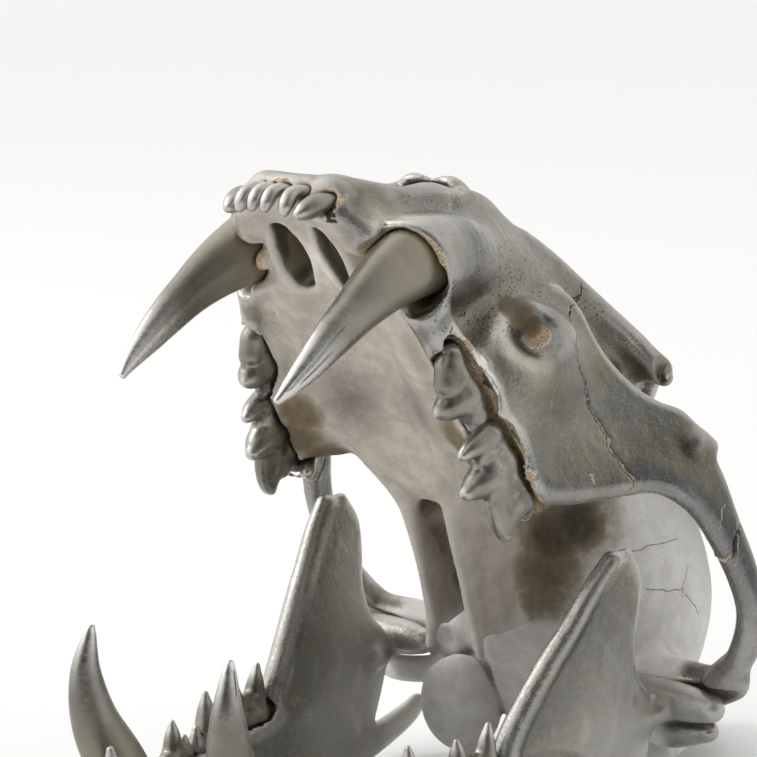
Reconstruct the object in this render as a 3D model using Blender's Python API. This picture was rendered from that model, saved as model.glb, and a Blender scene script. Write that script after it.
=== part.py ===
"""Leopard skull with its lower jaw, mouth wide open, lying as it rests on a floor.

Each bone is a field of distances in millimetres, built up from balls, rods, straps, plates and a
lofted trunk that run into one another, then meshed, thinned out and given its teeth.
Skull frame: x to the animal's left, y from the front of the upper jaw to the back, z up from the
edge of the cheek teeth's sockets. Jaw frame: x and y the same, y 0 at the jaw joint, z 0 on the floor.
World frame: the jaw's, moved so that the whole stands centred on the origin. The snout faces -Y.
"""

import itertools
import math

import bmesh
import bpy
import numpy as np
from mathutils import Matrix, Vector

# Pose
GAPE_TILT = 58.9            # how far the skull is tipped back over the flat lying jaw, degrees
JOINT_HEIGHT = 35.0         # jaw joint above the floor
JOINT = (0.0, 165.0, 13.0)  # jaw joint in the skull frame, on the midline

# Whole skull
SKULL_LENGTH = 226.0        # front of the upper jaw to the back of the crest
ARCH_HALF_WIDTH = 74.0      # middle to the outside of the cheek arch
BRAIN_HALF_WIDTH = 35.5
BROW_HALF_WIDTH = 35.0      # to the tip of the frontal bone's point
MUZZLE_HALF_WIDTH = 26.0
CREST_TOP = 84.5
NOSE_TIP = (0.0, 31.3, 46.6)
CONDYLE_HALF_SPAN = 60.0    # middle to the outer end of the jaw joint

# Eye socket and other openings
ORBIT_CENTRE = (41.0, 84.0, 53.0)
ORBIT_RADII = (21.0, 21.0, 13.5)
CHOANA_RADIUS = 4.8
CHEEK_CANAL_RADIUS = 4.8
FORAMEN_MAGNUM_RADIUS = 9.0
JOINT_HOLLOW_RADIUS = 5.8
JOINT_ROLL_RADIUS = 4.8

# Seams of the cheek bone, in the skull frame
CHEEK_SEAM = (0.154, 1.0, 2.834, 157.6)  # a point times the first three is the last on the seam in front
CHEEK_FRONT = 63.4          # where that seam turns up to the eye socket's rim
CHEEK_INSIDE = 33.0         # the cheek bone's reach inwards
ARCH_SEAM = (124.0, 25.0)   # behind: a point's y and z
ARCH_SEAM_SLOPE = -0.5      # and y over z

# Teeth
CANINE_ACROSS = 0.88        # of its row's radius: half the width of a canine across the jaw
CANINE_ALONG = 1.12         # and along the jaw
SOCKET_GAP = 0.3

# Meshing
BONE_STEP = 1.5
TOOTH_STEP = 0.8
FAR = 30.0
SKULL_TRIANGLES = 7600
JAW_TRIANGLES = 1500
CHEEK_TOOTH_TRIANGLES = 150
SMALL_TOOTH_TRIANGLES = 56
MM = 0.001

BONE_COLOUR = (0.42, 0.42, 0.40, 1.0)
TOOTH_COLOUR = (0.55, 0.55, 0.53, 1.0)


# Fields of distances

def smooth_min(a, b, blend):
    """The lower of two distances, rounded over where they differ by less than blend."""
    if blend <= 0:
        return np.minimum(a, b)
    near = np.maximum(blend - np.abs(a - b), 0) / blend
    return np.minimum(a, b) - near * near * blend * 0.25


def curve_through(rows, steps):
    """Rows of numbers along a smooth curve through the given rows."""
    rows = np.asarray(rows, float)
    padded = np.vstack([2 * rows[0] - rows[1], rows, 2 * rows[-1] - rows[-2]])
    out = []
    for a, b, c, d in zip(padded, padded[1:], padded[2:], padded[3:]):
        for t in np.arange(steps) / steps:
            bend = (2 * a - 5 * b + 4 * c - d) * t * t + (3 * b - a - 3 * c + d) * t ** 3
            out.append(0.5 * (2 * b + (c - a) * t + bend))
    out.append(rows[-1])
    return np.array(out)


def along_stretches(rows, reach, grids, gap):
    """The least of gap(a, b, grids) over neighbouring rows, each worked out only round its own stretch."""
    best = np.full(np.broadcast_shapes(*(g.shape for g in grids)), FAR, np.float32)
    for a, b in zip(rows, rows[1:]):
        low, high = reach(a, b)
        part = []
        for g, lowest, highest in zip(grids, low, high):
            line = g.ravel()
            part.append(slice(np.searchsorted(line, lowest), np.searchsorted(line, highest)))
        x, y, z = grids[0][part[0]], grids[1][:, part[1]], grids[2][:, :, part[2]]
        if x.size and y.size and z.size:
            at = tuple(part)
            best[at] = np.minimum(best[at], gap(a, b, (x, y, z)))
    return best


class Ball:
    """An ellipsoid, turned by turn degrees about z."""

    def __init__(self, centre, radii, turn=0.0):
        self.centre = centre
        self.radii = radii
        self.turn = math.radians(turn)
        reach = np.full(3, max(radii)) if turn else np.array(radii)
        self.low = np.array(centre) - reach
        self.high = np.array(centre) + reach

    def distance(self, grids):
        x, y, z = (g - c for g, c in zip(grids, self.centre))
        c, s = math.cos(self.turn), math.sin(self.turn)
        p = (c * x + s * y, c * y - s * x, z)
        k0 = np.sqrt(sum((q / r) ** 2 for q, r in zip(p, self.radii)))
        k1 = np.sqrt(sum((q / r ** 2) ** 2 for q, r in zip(p, self.radii)))
        return k0 * (k0 - 1) / np.maximum(k1, 1e-6)


class Rod:
    """A rod along a smooth curve. Each row is x, y, z, radius. flat squeezes it along an axis."""

    def __init__(self, rows, flat=(1, 1, 1), steps=4):
        self.flat = np.array(flat, float)
        self.rows = curve_through(rows, steps)
        reach = self.rows[:, 3:] / self.flat
        self.low = (self.rows[:, :3] - reach).min(0)
        self.high = (self.rows[:, :3] + reach).max(0)

    def distance(self, grids):
        s = self.flat

        def reach(a, b):
            r = max(a[3], b[3]) / s + 9
            return np.minimum(a[:3], b[:3]) - r, np.maximum(a[:3], b[:3]) + r

        def gap(a, b, part):
            p = [q * k for q, k in zip(part, s)]
            u, d = a[:3] * s, (b[:3] - a[:3]) * s
            t = np.clip(sum((q - w) * e for q, w, e in zip(p, u, d)) / max(d @ d, 1e-9), 0, 1)
            span = sum((q - w - t * e) ** 2 for q, w, e in zip(p, u, d))
            return (np.sqrt(span) - (a[3] + (b[3] - a[3]) * t)) / s.max() ** 0.5

        return along_stretches(self.rows, reach, grids, gap)


class Strap:
    """A band between two edge curves. Each row is one edge's x, y, z, the other's, and a radius."""

    def __init__(self, rows, steps=8):
        self.rows = curve_through(rows, steps)
        r = self.rows[:, 6:]
        self.low = (np.minimum(self.rows[:, :3], self.rows[:, 3:6]) - r).min(0)
        self.high = (np.maximum(self.rows[:, :3], self.rows[:, 3:6]) + r).max(0)

    def distance(self, grids):
        def reach(a, b):
            r = max(a[6], b[6]) + 9
            ends = np.array([a[:3], a[3:6], b[:3], b[3:6]])
            return ends.min(0) - r, ends.max(0) + r

        def gap(a, b, part):
            m, n = (a[:3] + a[3:6]) / 2, (b[:3] + b[3:6]) / 2
            g, h = (a[:3] - a[3:6]) / 2, (b[:3] - b[3:6]) / 2
            d = n - m
            p = [q - w for q, w in zip(part, m)]
            t = np.clip(sum(q * e for q, e in zip(p, d)) / max(d @ d, 1e-9), 0, 1)
            p = [q - t * e for q, e in zip(p, d)]
            w = [u + t * (v - u) for u, v in zip(g, h)]
            width = np.maximum(sum(e * e for e in w), 1e-6)
            s = np.clip(sum(q * e for q, e in zip(p, w)) / width, -1, 1)
            span = sum((q - s * e) ** 2 for q, e in zip(p, w))
            return np.sqrt(span) - (a[6] + (b[6] - a[6]) * t)

        return along_stretches(self.rows, reach, grids, gap)


class Trunk:
    """A trunk along y. Each row is y, half width, bottom, top, height of the widest place, squareness."""

    def __init__(self, rows):
        self.rows = curve_through(rows, 8)
        r = self.rows
        self.low = np.array([-r[:, 1].max(), r[0, 0], r[:, 2].min()])
        self.high = np.array([r[:, 1].max(), r[-1, 0], r[:, 3].max()])

    def distance(self, grids):
        x, y, z = grids
        r = self.rows
        half, low, high, widest, square = (np.interp(y, r[:, 0], r[:, i]) for i in range(1, 6))
        centre = low + (high - low) * widest
        up = z - centre
        tall = np.where(up > 0, high - centre, centre - low)
        ring = ((np.abs(x) / half) ** square + (np.abs(up) / tall) ** square) ** (1 / square) - 1
        ends = np.maximum(r[0, 0] - y, y - r[-1, 0])
        return np.maximum(ring * np.minimum(half, tall), ends)


class Plate:
    """A plate that faces x: a smooth closed outline in y and z, and x = middle + slope . (y, z)."""

    def __init__(self, outline, middle, half, slope=(0, 0)):
        self.ring = curve_through(list(outline) + [outline[0]], 4)[:-1]
        self.middle, self.half, self.slope = middle, half, slope
        rise = middle + self.ring @ np.array(slope)
        self.low = np.array([rise.min() - half, *self.ring.min(0)])
        self.high = np.array([rise.max() + half, *self.ring.max(0)])

    def distance(self, grids):
        x, y, z = grids
        best = np.full(np.broadcast_shapes(y.shape, z.shape), np.inf)
        inside = np.zeros(best.shape, bool)
        for a, b in zip(self.ring, np.roll(self.ring, -1, 0)):
            d = b - a
            t = np.clip(((y - a[0]) * d[0] + (z - a[1]) * d[1]) / max(d @ d, 1e-9), 0, 1)
            best = np.minimum(best, (y - a[0] - t * d[0]) ** 2 + (z - a[1] - t * d[1]) ** 2)
            if a[1] != b[1]:
                inside ^= ((a[1] > z) != (b[1] > z)) & (y < d[0] * (z - a[1]) / d[1] + a[0])
        edge = np.sqrt(best) * np.where(inside, -1, 1)
        lean = math.sqrt(1 + self.slope[0] ** 2 + self.slope[1] ** 2)
        face = np.abs(x - self.middle - self.slope[0] * y - self.slope[1] * z) / lean - self.half
        out = np.sqrt(np.maximum(edge, 0) ** 2 + np.maximum(face, 0) ** 2)
        return out + np.minimum(np.maximum(edge, face), 0)


class Field:
    """A box of distances to a surface, negative inside."""

    def __init__(self, low, high, step):
        self.low = np.array(low, float)
        self.step = step
        self.count = np.ceil((np.array(high) - self.low) / step).astype(int) + 1
        self.d = np.full(self.count, FAR, np.float32)

    def window(self, low, high):
        first = np.clip(np.floor((low - self.low) / self.step).astype(int), 0, self.count)
        last = np.clip(np.ceil((high - self.low) / self.step).astype(int) + 1, 0, self.count)
        grids = []
        for i in range(3):
            line = self.low[i] + self.step * np.arange(first[i], last[i])
            grids.append(line.astype(np.float32).reshape([-1 if i == j else 1 for j in range(3)]))
        return tuple(slice(f, l) for f, l in zip(first, last)), grids

    def add(self, shape, blend=2.0):
        """Joins a shape on, with a fillet about as wide as blend."""
        reach = blend + 2 * self.step + 1
        at, grids = self.window(shape.low - reach, shape.high + reach)
        if self.d[at].size:
            self.d[at] = smooth_min(self.d[at], shape.distance(grids).astype(np.float32), blend)

    def cut(self, shape, blend=2.0):
        """Takes a shape away, with a rounded rim."""
        reach = blend + 2 * self.step + 1
        at, grids = self.window(shape.low - reach, shape.high + reach)
        if self.d[at].size:
            self.d[at] = -smooth_min(-self.d[at], shape.distance(grids).astype(np.float32), blend)

    def trim(self, point, normal):
        """Cuts off flat all that lies behind the plane through point."""
        x, y, z = self.window(self.low, self.low + self.step * self.count)[1]
        n = np.array(normal, float) / np.linalg.norm(normal)
        behind = -(n[0] * (x - point[0]) + n[1] * (y - point[1]) + n[2] * (z - point[2]))
        self.d = np.maximum(self.d, behind.astype(np.float32))

    def mirrored(self):
        """The same field with its other half, for a bone that is alike on both sides of x 0."""
        whole = Field(self.low, self.low, self.step)
        whole.d = np.concatenate([self.d[:0:-1], self.d], axis=0)
        whole.count = np.array(whole.d.shape)
        whole.low[0] = -self.step * (self.count[0] - 1)
        return whole


def untangle(inside):
    """Fills grid points until no cell's inside or outside points meet only at a corner or across a face."""
    while True:
        fill = np.zeros_like(inside)
        for axis in range(3):
            s = [[slice(None)] * 3 for _ in range(4)]
            b, c = [i for i in range(3) if i != axis]
            for k, (db, dc) in enumerate(((0, 0), (1, 1), (0, 1), (1, 0))):
                s[k][b] = slice(db, inside.shape[b] - 1 + db)
                s[k][c] = slice(dc, inside.shape[c] - 1 + dc)
            p, q, r, t = (inside[tuple(k)] for k in s)
            fill[tuple(s[2])] |= p & q & ~r & ~t
            fill[tuple(s[0])] |= ~p & ~q & r & t
        corners = []
        for i in (0, 1):
            for j in (0, 1):
                for k in (0, 1):
                    corners.append((i, j, k))
        parts = {c: tuple(slice(e, n - 1 + e) for e, n in zip(c, inside.shape)) for c in corners}
        number = sum(inside[parts[c]].astype(np.int8) for c in corners)
        for c in corners[:4]:
            far = tuple(1 - e for e in c)
            near_corner, far_corner = inside[parts[c]], inside[parts[far]]
            beside = parts[(c[0], c[1], 1 - c[2])]
            fill[beside] |= (number == 2) & near_corner & far_corner
            fill[parts[c]] |= (number == 6) & ~near_corner & ~far_corner
        fill &= ~inside
        if not fill.any():
            return inside
        inside = inside | fill


def surface(field):
    """Points and four-sided faces of the field's zero surface, facing out."""
    d = field.d
    inside = untangle(d < 0)
    d = np.where(inside & (d >= 0), np.float32(-0.02 * field.step), d)
    n = d.shape
    corners = [(i, j, k) for i in (0, 1) for j in (0, 1) for k in (0, 1)]
    number = sum(inside[tuple(slice(e, m - 1 + e) for e, m in zip(c, n))].astype(np.int8) for c in corners)
    active = (number > 0) & (number < 8)
    where = np.argwhere(active)
    index = np.full(active.shape, -1, np.int64)
    index[active] = np.arange(len(where))
    total = np.zeros((len(where), 3))
    count = np.zeros(len(where))
    for corner in corners:
        for axis in range(3):
            if corner[axis]:
                continue
            start = where + corner
            end = start.copy()
            end[:, axis] += 1
            u, v = d[tuple(start.T)], d[tuple(end.T)]
            crossing = (u < 0) != (v < 0)
            spot = np.repeat(np.array([corner], float), len(where), 0)
            spot[:, axis] = np.where(crossing, u / np.where(crossing, u - v, 1), 0)
            total += spot * crossing[:, None]
            count += crossing
    points = field.low + field.step * (where + total / count[:, None])
    faces = []
    for axis in range(3):
        b, c = [(1, 2), (2, 0), (0, 1)][axis]
        first = [slice(1, -1)] * 3
        first[axis] = slice(0, -1)
        second = list(first)
        second[axis] = slice(1, None)
        here, beyond = inside[tuple(first)], inside[tuple(second)]
        for state, flip in ((here & ~beyond, False), (~here & beyond, True)):
            at = np.argwhere(state) + np.where(np.arange(3) == axis, 0, 1)
            ring = []
            for db, dc in ((-1, -1), (0, -1), (0, 0), (-1, 0)):
                cell = at.copy()
                cell[:, b] += db
                cell[:, c] += dc
                ring.append(index[tuple(cell.T)])
            face = np.stack(ring, 1)
            faces.append(face[:, ::-1] if flip else face)
    return points, np.concatenate(faces)


# Bones of the skull: left half, skull frame

def add_face(f):
    f.add(Trunk([(3, 13.5, -1, 8, .5, 2.6), (8, 16.5, -1, 12, .4, 2.6), (14, 20, 0, 19, .35, 2.5),
                 (20, 24, 0, 27, .28, 2.4), (26, MUZZLE_HALF_WIDTH, 0, 36, .24, 2.5),
                 (31, MUZZLE_HALF_WIDTH, 0, 45, .2, 2.5), (36, MUZZLE_HALF_WIDTH, 0, 53, .16, 2.6), (44, 26.5, 0, 56.5, .15, 2.7),
                 (56, 29, 0, 61.5, .15, 2.7), (68, 30, 0, 66.5, .15, 2.6), (80, 29, 1, 71, .2, 2.6),
                 (92, 27, 3, 75, .4, 2.8), (103, 24, 8, 78, .7, 2.8), (112, 21, 12, 80, .75, 2.5)]), 3)
    f.add(Ball((31, 72, 20), (14, 24, 22)), 6)


def add_braincase(f):
    w = BRAIN_HALF_WIDTH
    f.add(Trunk([(96, 18, 14, 77, .7, 2.3), (110, 19.5, 15, 80.5, .72, 2.2), (122, 20, 15, 82, .6, 2.1),
                 (134, 25.5, 15, 82, .5, 2.1), (147, w - 3.5, 14, 81, .46, 2.1), (160, w, 13, 79.5, .44, 2.1),
                 (174, w, 12, 77, .42, 2.1), (187, 31, 11, 72, .42, 2.1), (198, 25, 12, 64, .4, 2.1),
                 (206, 18, 14, 54, .4, 2.1)]), 8)


def add_forehead(f):
    """The shelf over the eye, ending in the frontal bone's point."""
    f.add(Strap([(14, 56, 53.5, 4, 56, 52, 4), (15.5, 64, 58, 5, 65, 58, 4), (18, 75, 62.5, 6, 76, 64, 4),
                 (21.8, 84, 65.5, 8, 86, 68, 3.6), (27, 94, 67.5, 10, 98, 71, 3.4),
                 (31.5, 101, 67.5, 10, 108, 73, 3.2)]), 5)
    f.add(Rod([(22, 99, 70, 5), (29, 102, 69, 3.4), (BROW_HALF_WIDTH - 1, 103.5, 66.5, 2.2)]), 3)


def add_canine_root(f):
    """The swelling over the canine's root, and the rim that its crown comes out of."""
    f.add(Rod([(25.4, 22.6, 6, 10.4), (25.6, 26, 13, 10.6), (23, 34, 24, 9.2), (20, 45, 36, 6.2),
               (17, 56, 46, 3.5)], flat=(1.2, 1, 1)), 6)
    f.cut(Strap([(34, 13, 6, 18, 13, 0.3, 5), (34, 20, 4.6, 18, 20, -1.1, 5),
                 (34, 26, 3.4, 18, 26, -2.3, 5)]), 1.2)


def add_premaxilla(f):
    f.add(Rod([(0, 3.5, 2.6, 3.6), (7, 4, 2.6, 3.8), (13, 6.6, 3, 4.2), (17, 13, 4, 5)]), 2)
    f.add(Strap([(0, 1.8, 3.1, 0, 7, 10.3, 4.2), (6.5, 3.2, 5.4, 6.5, 8, 11.3, 4.2),
                 (11, 4.3, 6.4, 11.5, 8.2, 11.4, 4.2), (15.5, 11, 8, 15.3, 12, 13.5, 4)]), 2)
    f.add(Rod([(12.2, 7, 10, 3.6), (14, 10.5, 15.1, 3), (15.3, 15.9, 20.7, 3), (15.3, 18, 24.8, 3),
               (15.2, 20, 29.1, 2.8), (14.4, 24.3, 34.3, 2.7), (13.2, 28.3, 39, 2.5), (11.6, 31.6, 43, 2.3),
               (9.6, 32.6, 46.4, 2.2), (6, 30.6, 47.3, 2.1), NOSE_TIP + (2,)]), 2)


def add_tooth_row(f):
    f.add(Rod([(27.5, 36, 3.5, 4), (30, 46, 3.5, 5), (32.3, 57, 3.2, 5.6), (34.6, 70, 3.2, 5.8),
               (36.4, 82, 2.6, 5.4), (37, 90, 2, 4.6)]), 4)
    f.cut(Strap([(32.4, 42, 2.8, 46, 38, -3, 2), (33.8, 49, 3, 48, 45, -3, 2.4), (36, 56.5, 3, 50, 52, -3, 2.6),
                 (37.8, 63, 0.6, 50, 60, -3, 1.8), (37.6, 69.5, 2.6, 52, 66, -3, 2.4),
                 (38.6, 78, 2.8, 53, 77, -3, 2.5), (39.8, 86, 2.4, 54, 87, -3, 2.5),
                 (38.6, 92.5, 1.2, 48, 102, -3, 2)]), 0.6)


def add_cheek_arch(f):
    """The cheek bone's plate and the arch behind it: upper edge, lower edge, radius."""
    w = ARCH_HALF_WIDTH - 3.2
    f.add(Strap([(27, 62, 44, 31, 62, 8, 4.5), (33, 69, 43, 35, 72, 6, 4.5), (39, 76, 41.4, 39, 80, 3, 4.5),
                 (45, 83, 42.4, 43.4, 87, 5.5, 4.2), (51, 90, 43, 49.6, 93.5, 15.6, 3.8),
                 (57.5, 97.5, 41, 57, 99, 25.6, 3.4), (63.2, 107, 38.2, 63, 107, 29, 3.1),
                 (w - 3.8, 118, 34.4, w - 4, 118, 29.6, 3), (w - 0.6, 130, 31.4, w - 0.6, 130, 28, 2.9),
                 (w - 0.2, 142, 28.6, w - 0.2, 142, 26, 2.9), (w - 3.4, 153, 25.2, w - 3.6, 153, 21.4, 3.3),
                 (w - 10, 161, 22.4, w - 10.2, 161, 18.4, 4)]), 4)
    f.add(Rod([(60, 99, 40, 4), (61.8, 102, 43, 2.2)]), 3)


def add_arch_root(f):
    """The temporal bone's root over the jaw joint."""
    f.add(Rod([(63, 162, 20, 4.2), (54, 167, 20, 4.8), (43, 169, 20.5, 5.6), (31, 170, 22, 7)]), 4)
    f.add(Strap([(62, 164, 22, 32, 166, 26, 2.4), (54, 172, 25, 33, 177, 31, 2.8),
                 (35, 190, 26, 32, 190, 30, 3)]), 4)


def add_crests(f):
    f.add(Rod([(31, 104, 70, 2.2), (20, 115, 77, 2), (9, 130, 80.5, 2), (1, 146, 82, 2)]), 3)
    f.add(Plate([(136, 76), (146, 83), (168, CREST_TOP), (192, 81.5), (212, 76), (SKULL_LENGTH - 2, 70.5),
                 (SKULL_LENGTH - 4, 60), (200, 60), (165, 70)], 0, 1.5), 6)
    f.add(Strap([(0, 222, 69, 0, 206, 60, 2.6), (10, 219, 65, 8, 203, 56, 2.6),
                 (20, 212, 56, 16, 199, 48, 2.6), (28, 204, 42, 22, 194, 38, 2.6),
                 (32.5, 197, 27, 27, 190, 27, 3), (34, 191, 16, 29, 187, 18, 4)]), 4)


def add_skull_base(f):
    """Occiput, its two rolls, the ear capsule and the bar between them."""
    f.add(Rod([(0, 206, 50, 12), (0, 198, 34, 18)]), 8)
    f.add(Ball((13, 206, 19), (7.2, 7.2, 9.5), 20), 3)
    f.add(Ball((23, 180, 7), (11, 16, 11), -12), 2.5)
    f.add(Rod([(30, 192, 15, 6), (27, 197, 5, 3.2)]), 3)
    f.add(Strap([(5, 150, 16, 0, 150, 16, 3), (8, 170, 14, 0, 170, 14, 3), (9, 198, 14, 0, 200, 14, 4)]), 4)


def add_pterygoid(f):
    """The thin wall beside the inner nostril: lower edge, upper edge, radius."""
    f.add(Strap([(14, 90, 9, 16, 90, 22, 4), (8.2, 100, 6, 14, 100, 24, 3), (6.8, 108, 3.2, 12, 108, 22, 2.1),
                 (6.6, 120, 0.4, 11, 121, 20, 1.7), (6.8, 130, -2.2, 11, 134, 19, 1.6),
                 (7.4, 137, -4.2, 11.5, 146, 18, 1.5)]), 2.5)
    f.add(Rod([(7.4, 136, -4, 1.5), (8.4, 141, -6.5, 1.2)]), 1)


def cut_jaw_joint(f):
    f.add(Rod([(33, 173.4, 11, 3.8), (46, 174.4, 9.5, 3.6), (57, 172.8, 12, 3)]), 2.5)
    r = JOINT_HOLLOW_RADIUS
    f.cut(Rod([(x, JOINT[1], JOINT[2], r) for x in (30, CONDYLE_HALF_SPAN + 10)]), 1.2)


def cut_palate(f):
    """The vaulted palate, its two slits behind the incisors and the inner nostril."""
    f.cut(Ball((0, 60, -12), (23, 50, 19)), 3)
    f.cut(Ball((0, 20, -8), (13.5, 22, 10.5)), 3)
    f.cut(Strap([(6.4, 12, -2, 6.2, 13.5, 18, 2.4), (6.4, 20, -2, 6.2, 20, 18, 4.1),
                 (7, 28, -1, 6.6, 27.5, 18, 2.8)]), 1)
    r = CHOANA_RADIUS
    f.cut(Rod([(0, 104, 4, r - .6), (0, 112, 3, r), (0, 124, 1, r + .4), (0, 140, 0, r + .8),
               (0, 152, -2, r + 1)]), 2)
    f.cut(Rod([(0, 112, 8, 6), (0, 98, 14, 6), (0, 80, 19, 6), (0, 60, 23, 7)]), 2)


def cut_orbit(f):
    """The eye socket and the gap behind it for the chewing muscle."""
    f.cut(Ball(ORBIT_CENTRE, ORBIT_RADII), 3)
    f.cut(Ball((36, 102, 36), (16.5, 18, 27)), 4)
    f.cut(Ball((44, 120, 36), (20, 22, 24)), 3)
    r = CHEEK_CANAL_RADIUS
    f.cut(Rod([(39, 52, 23.4, r - 1.4), (36.8, 57.5, 25.4, r - .6), (34, 67, 28, r - .6), (34, 84, 34, r)]), 1.5)


def cut_nose_and_foramen(f):
    f.cut(Rod([(0, 0, 30, 9), (0, 9, 27.5, 10), (0, 20, 31, 11.5), (0, 40, 34, 12), (0, 66, 36, 9)],
              flat=(1, 1, 0.85)), 1.5)
    r = FORAMEN_MAGNUM_RADIUS
    f.cut(Rod([(0, 216, 25, r), (0, 200, 25, r), (0, 184, 29, r)], flat=(0.9, 1, 1)), 1.5)


def skull_field():
    f = Field((0, -8, -24), (84, 238, 96), BONE_STEP)
    add_face(f)
    add_braincase(f)
    add_forehead(f)
    add_canine_root(f)
    add_premaxilla(f)
    add_tooth_row(f)
    add_cheek_arch(f)
    add_arch_root(f)
    add_crests(f)
    add_skull_base(f)
    add_pterygoid(f)
    cut_jaw_joint(f)
    cut_palate(f)
    cut_orbit(f)
    cut_nose_and_foramen(f)
    down = skull_pose().to_3x3().inverted() @ Vector((0, 0, 1))
    ground = skull_pose().inverted() @ Vector((0, 0, 0))
    f.trim(ground, down)
    return f.mirrored()


# Bones of the lower jaw: left half, jaw frame

def jaw_field():
    f = Field((-2, -160, -3), (70, 16, 84), BONE_STEP)
    f.add(Strap([(44, -22, 16, 44, -22, 8, 2), (43, -36, 24, 43, -36, 7, 3.6),
                 (39.6, -52, 25.5, 41, -52, 6, 5.2), (36.6, -68, 23.2, 37, -68, 5.8, 6),
                 (33.5, -84, 22.6, 33, -84, 5.6, 6.2),
                 (30, -98, 22.6, 28, -98, 5.6, 6.2), (26, -110, 23.5, 22, -110, 6.5, 6.4),
                 (21.5, -121, 26, 15, -121, 8, 6.8), (17.5, -131, 30, 10, -130, 12, 7.4),
                 (11, -139, 33.5, 8, -136.5, 19, 5.6), (3, -142, 33, 3, -139.5, 22, 4.6)]), 4)
    f.add(Strap([(8, -112, 14, 4, -112, 12, 5), (7, -124, 24, 4, -124, 11, 6),
                 (5, -134, 30, 4, -134, 16, 6)]), 5)
    front = [(47, -27, 76.6), (45.5, -33, 70), (43.8, -38.5, 62), (41.8, -44.5, 54), (39.8, -50.5, 45),
             (38.4, -56, 36), (38.6, -60, 27), (39.5, -60, 17), (41, -56, 8)]
    back = [(47, -20.5, 77), (46.6, -16, 70), (45.8, -15.5, 61), (45, -16, 52), (44.4, -13, 43),
            (44.2, -7, 36), (44.4, -6.5, 29), (44.4, -9, 20), (44, -14, 9)]
    f.add(Strap([u + v + (1.7,) for u, v in zip(front, back)]), 3)
    f.add(Rod([(x + 0.4, y, z, 1.8 + 0.03 * (77 - z)) for x, y, z in front[:7]]), 3)
    r = JOINT_ROLL_RADIUS
    roll = [(35, r - 1.2), (41, r), (52, r), (CONDYLE_HALF_SPAN, r - 1.2)]
    f.add(Rod([(x, 0, JOINT_HEIGHT, radius) for x, radius in roll]), 1.5)
    f.add(Rod([(42, -12, 31, 3.0), (46, -4.5, 32.5, 3.4)]), 3)
    f.add(Rod([(41, -46, 6, 6), (42.5, -26, 6, 5), (43.6, -10, 7.5, 4), (43.6, 3, 11, 3.2),
               (43.2, 8, 14, 2.4)]), 3)
    f.cut(Ball((54.5, -32, 32), (9.6, 21, 24)), 3)
    f.trim((SOCKET_GAP / 2, 0, 0), (1, 0, 0))
    f.trim((0, 0, 0), (0, 0, 1))
    return f


# Teeth: each is rods that run from the root to a cusp; upper ones in the skull frame

def upper_teeth():
    """Name, triangle budget and rods of each left upper tooth that is fused to the skull."""
    teeth = []
    crowns = ([(1.9, 1.2, 3, 1.3), (2, -0.7, -0.4, 1.5), (2, -1.9, -3.2, 1.7), (2, -1.9, -5.4, 1.7),
               (2, -1.5, -6.8, 1.2)],
              [(6.4, 2.2, 3.4, 1.4), (6.6, -0.3, 0.2, 1.6), (6.8, -1.7, -2.6, 1.9), (7, -1.5, -4.9, 1.8),
               (7, -1, -6.4, 1.2)],
              [(12.9, 5.4, 6, 1.8), (12.5, 2.9, 2.6, 2.5), (12, 1.6, -0.6, 2.9), (11.3, 0.8, -3.8, 2.4),
               (10.9, 0, -6, 1.3)])
    for k, crown in enumerate(crowns):
        teeth.append((f"incisor_{k + 1}", SMALL_TOOTH_TRIANGLES, [crown]))
    teeth.append(("premolar_3", CHEEK_TOOTH_TRIANGLES,
                  [[(30.8, 46, 2.4, 3.2), (31.6, 50.5, 0.6, 3.8), (33, 57, 0, 4.1), (33.4, 61.4, 0.8, 3)],
                   [(31.2, 47.5, 0, 3.2), (31.4, 50.8, -2.4, 3.2)],
                   [(32.4, 55.6, -0.5, 4.4), (31.6, 55.2, -4.8, 3.4), (31, 54.9, -7.6, 1.5)],
                   [(33, 58.8, 0, 2.6), (32.4, 59.4, -2, 1.5)],
                   [(33.8, 61.6, 0, 3.1), (34, 63, -1.6, 1.9)]]))
    teeth.append(("premolar_4", CHEEK_TOOTH_TRIANGLES,
                  [[(35.2, 67.5, 0.6, 3.2), (36.6, 76, -0.6, 3.9), (38, 85, -0.8, 3.7), (37, 89.5, 0.6, 2.6)],
                   [(35.4, 68, -3, 3.1), (36.2, 76, -4.5, 3.8), (37.6, 83, -4.6, 3.4), (37.8, 87.5, -4, 2.8)],
                   [(35.8, 67, -0.5, 3.5), (35.4, 66.2, -5.5, 2.8), (34.9, 65.9, -9.2, 1.5)],
                   [(36.4, 75.4, -0.5, 4.1), (35.6, 75.2, -7, 4.2), (34.7, 75, -12.2, 2.1)],
                   [(38, 84.5, -0.5, 3.8), (38.2, 86, -6, 3.2), (38.3, 89.5, -9.6, 1.8)],
                   [(37.2, 79.5, -7, 2.6), (37.8, 83.5, -9, 2.3), (38.2, 87.5, -10, 2), (38.3, 90.4, -9.6, 1.3)],
                   [(35, 70, 2, 2.8), (30.2, 70.4, 1, 2.8), (29.6, 70.4, -1.4, 1.7)]]))
    molar = [(34.6, 90.5, 3, 2.0), (32.6, 90.3, -0.4, 2.2), (31.6, 90.2, -1.8, 1.2)]
    teeth.append(("molar_1", SMALL_TOOTH_TRIANGLES, [molar]))
    return teeth


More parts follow.
